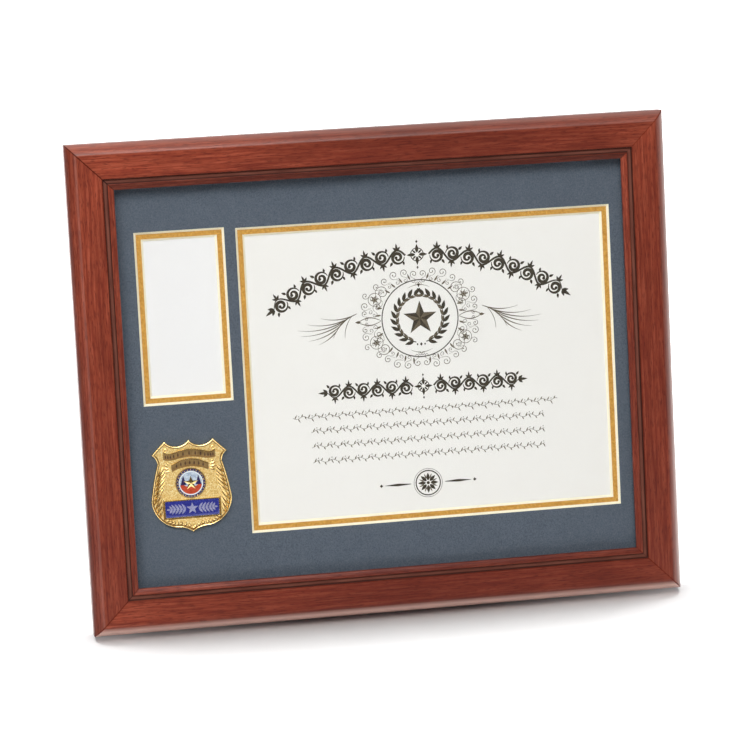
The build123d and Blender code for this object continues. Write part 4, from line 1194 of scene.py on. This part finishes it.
def floor_finish():
    """A pale floor that keeps the soft shadow under the frame; to the camera and in reflections it glows white
    around it, a painted light that also fades the shadow's ends.
    """
    f = Finish("floor_white", roughness=0.8, specular=0.1)
    f.set(color=f.ramp(f.noise(40.0, 3.0), (0.3, (0.84, 0.84, 0.84, 1)), (0.7, (0.86, 0.86, 0.86, 1))))
    moved = f.vector("ADD", f.place(), (0.0, -0.15, 0.0))
    away = f.vector("LENGTH", f.vector("MULTIPLY", moved, (1 / 0.24, 1 / 0.35, 1.0)), output="Value")
    seen = f.maths("MAXIMUM", f.ray("Camera"), f.ray("Glossy"))
    # Painted light: the glow grows step by step from 0.62 to 1.22 of the oval around the frame's foot
    stops = ((0.31, 0.0), (0.45, 0.08), (0.52, 0.22), (0.56, 0.42), (0.61, 1.0))
    steps = f.ramp(f.maths("MULTIPLY", away, 0.5), *stops)
    f.surface.inputs["Emission Color"].default_value = (1, 1, 1, 1)
    f.feed(f.surface.inputs["Emission Strength"], f.maths("MULTIPLY", seen, steps))
    return f.material


FLOOR_SIZE = 28.0
floor_mesh = bpy.data.meshes.new("floor")
floor_mesh.from_pydata(at_depth(box((0, 0), FLOOR_SIZE, FLOOR_SIZE), 0), [], [(0, 1, 2, 3)])
floor_mesh.materials.append(floor_finish())
floor = new_object("floor", floor_mesh)

# Surround: white to the camera, white behind the frame and dim in front of it to reflections, faint as a light
AMBIENT = 0.035
world = bpy.data.worlds.new("studio")
bpy.context.scene.world = world
world.use_nodes = True
sky = Nodes(world.node_tree)
facing = sky.vector("DOT_PRODUCT", sky.node("ShaderNodeTexCoord", "Generated"), (0.3, 0.95, -0.3), "Value")
behind = sky.node("ShaderNodeMapRange", "Result", {
    "Value": facing, "From Min": -0.55, "From Max": 0.25, "To Min": 0.09, "To Max": 1.0})
reflected = sky.blended(sky.ray("Glossy"), AMBIENT, behind)
through = sky.blended(sky.ray("Transmission"), reflected, 1.0)
background = sky.tree.nodes["Background"]
background.inputs["Color"].default_value = (1, 1, 1, 1)
sky.feed(background.inputs["Strength"], sky.blended(sky.ray("Camera"), through, 1.0))


def soft_light(name, place, target, size, power, on_floor):
    """A soft box that lights either the floor or what stands on it, and is flagged off the glass."""
    data = bpy.data.lights.new(name, "AREA")
    data.shape = "RECTANGLE"
    data.size, data.size_y = size
    data.energy = power
    lamp = new_object(name, data)
    lamp.location = place
    lamp.rotation_euler = (Vector(target) - Vector(place)).to_track_quat("-Z", "Y").to_euler()
    lit = bpy.data.collections.new(name + "_lights")
    for piece in [floor] if on_floor else [floor, nodes["glass_pane"]]:
        lit.objects.link(piece)
    for linked in lit.collection_objects:
        linked.light_linking.link_state = "INCLUDE" if on_floor else "EXCLUDE"
    lamp.light_linking.receiver_collection = lit


# Lamps: name, place, target, size, power in watts, and whether the floor alone is lit
BODY = (0, 0, 0.16)
for lamp in (
    ("overhead", (-0.05, 0.5, 1.6), (-0.05, 0.0, 0.0), (1.7, 0.21), 40.0, True),
    ("overhead_front", (-0.05, -0.3, 1.6), (-0.05, -0.2, 0.0), (1.4, 1.2), 10.5, True),
    ("floor_front_left", (-1.5, -1.2, 0.9), (0.0, 0.0, 0.0), (0.9, 0.9), 1.8, True),
    ("floor_front_right", (1.5, -1.2, 0.9), (0.0, 0.0, 0.0), (0.9, 0.9), 1.8, True),
    ("key", (-0.5, -1.04, 2.05), BODY, (2.2, 1.2), 58.5, False),
    ("front_left", (-1.7, -1.9, 0.7), BODY, (0.9, 0.7), 3.0, False),
    ("front_right", (1.5, -1.95, 0.7), BODY, (0.9, 0.7), 0.6, False),
):
    soft_light(*lamp)

# Camera, as in the photograph
camera_data = bpy.data.cameras.new("camera")
camera_data.lens = 151.66
camera_data.sensor_width = 36.0
camera_data.clip_end = 60.0
camera = new_object("camera", camera_data)
camera.matrix_world = Matrix([
    (0.98403, 0.07184, -0.16288, -0.35096),
    (-0.17801, 0.38651, -0.90494, -1.94281),
    (-0.00206, 0.91948, 0.39313, 0.99925),
    (0, 0, 0, 1),
])
bpy.context.scene.camera = camera
bpy.context.scene.view_settings.view_transform = "Standard"
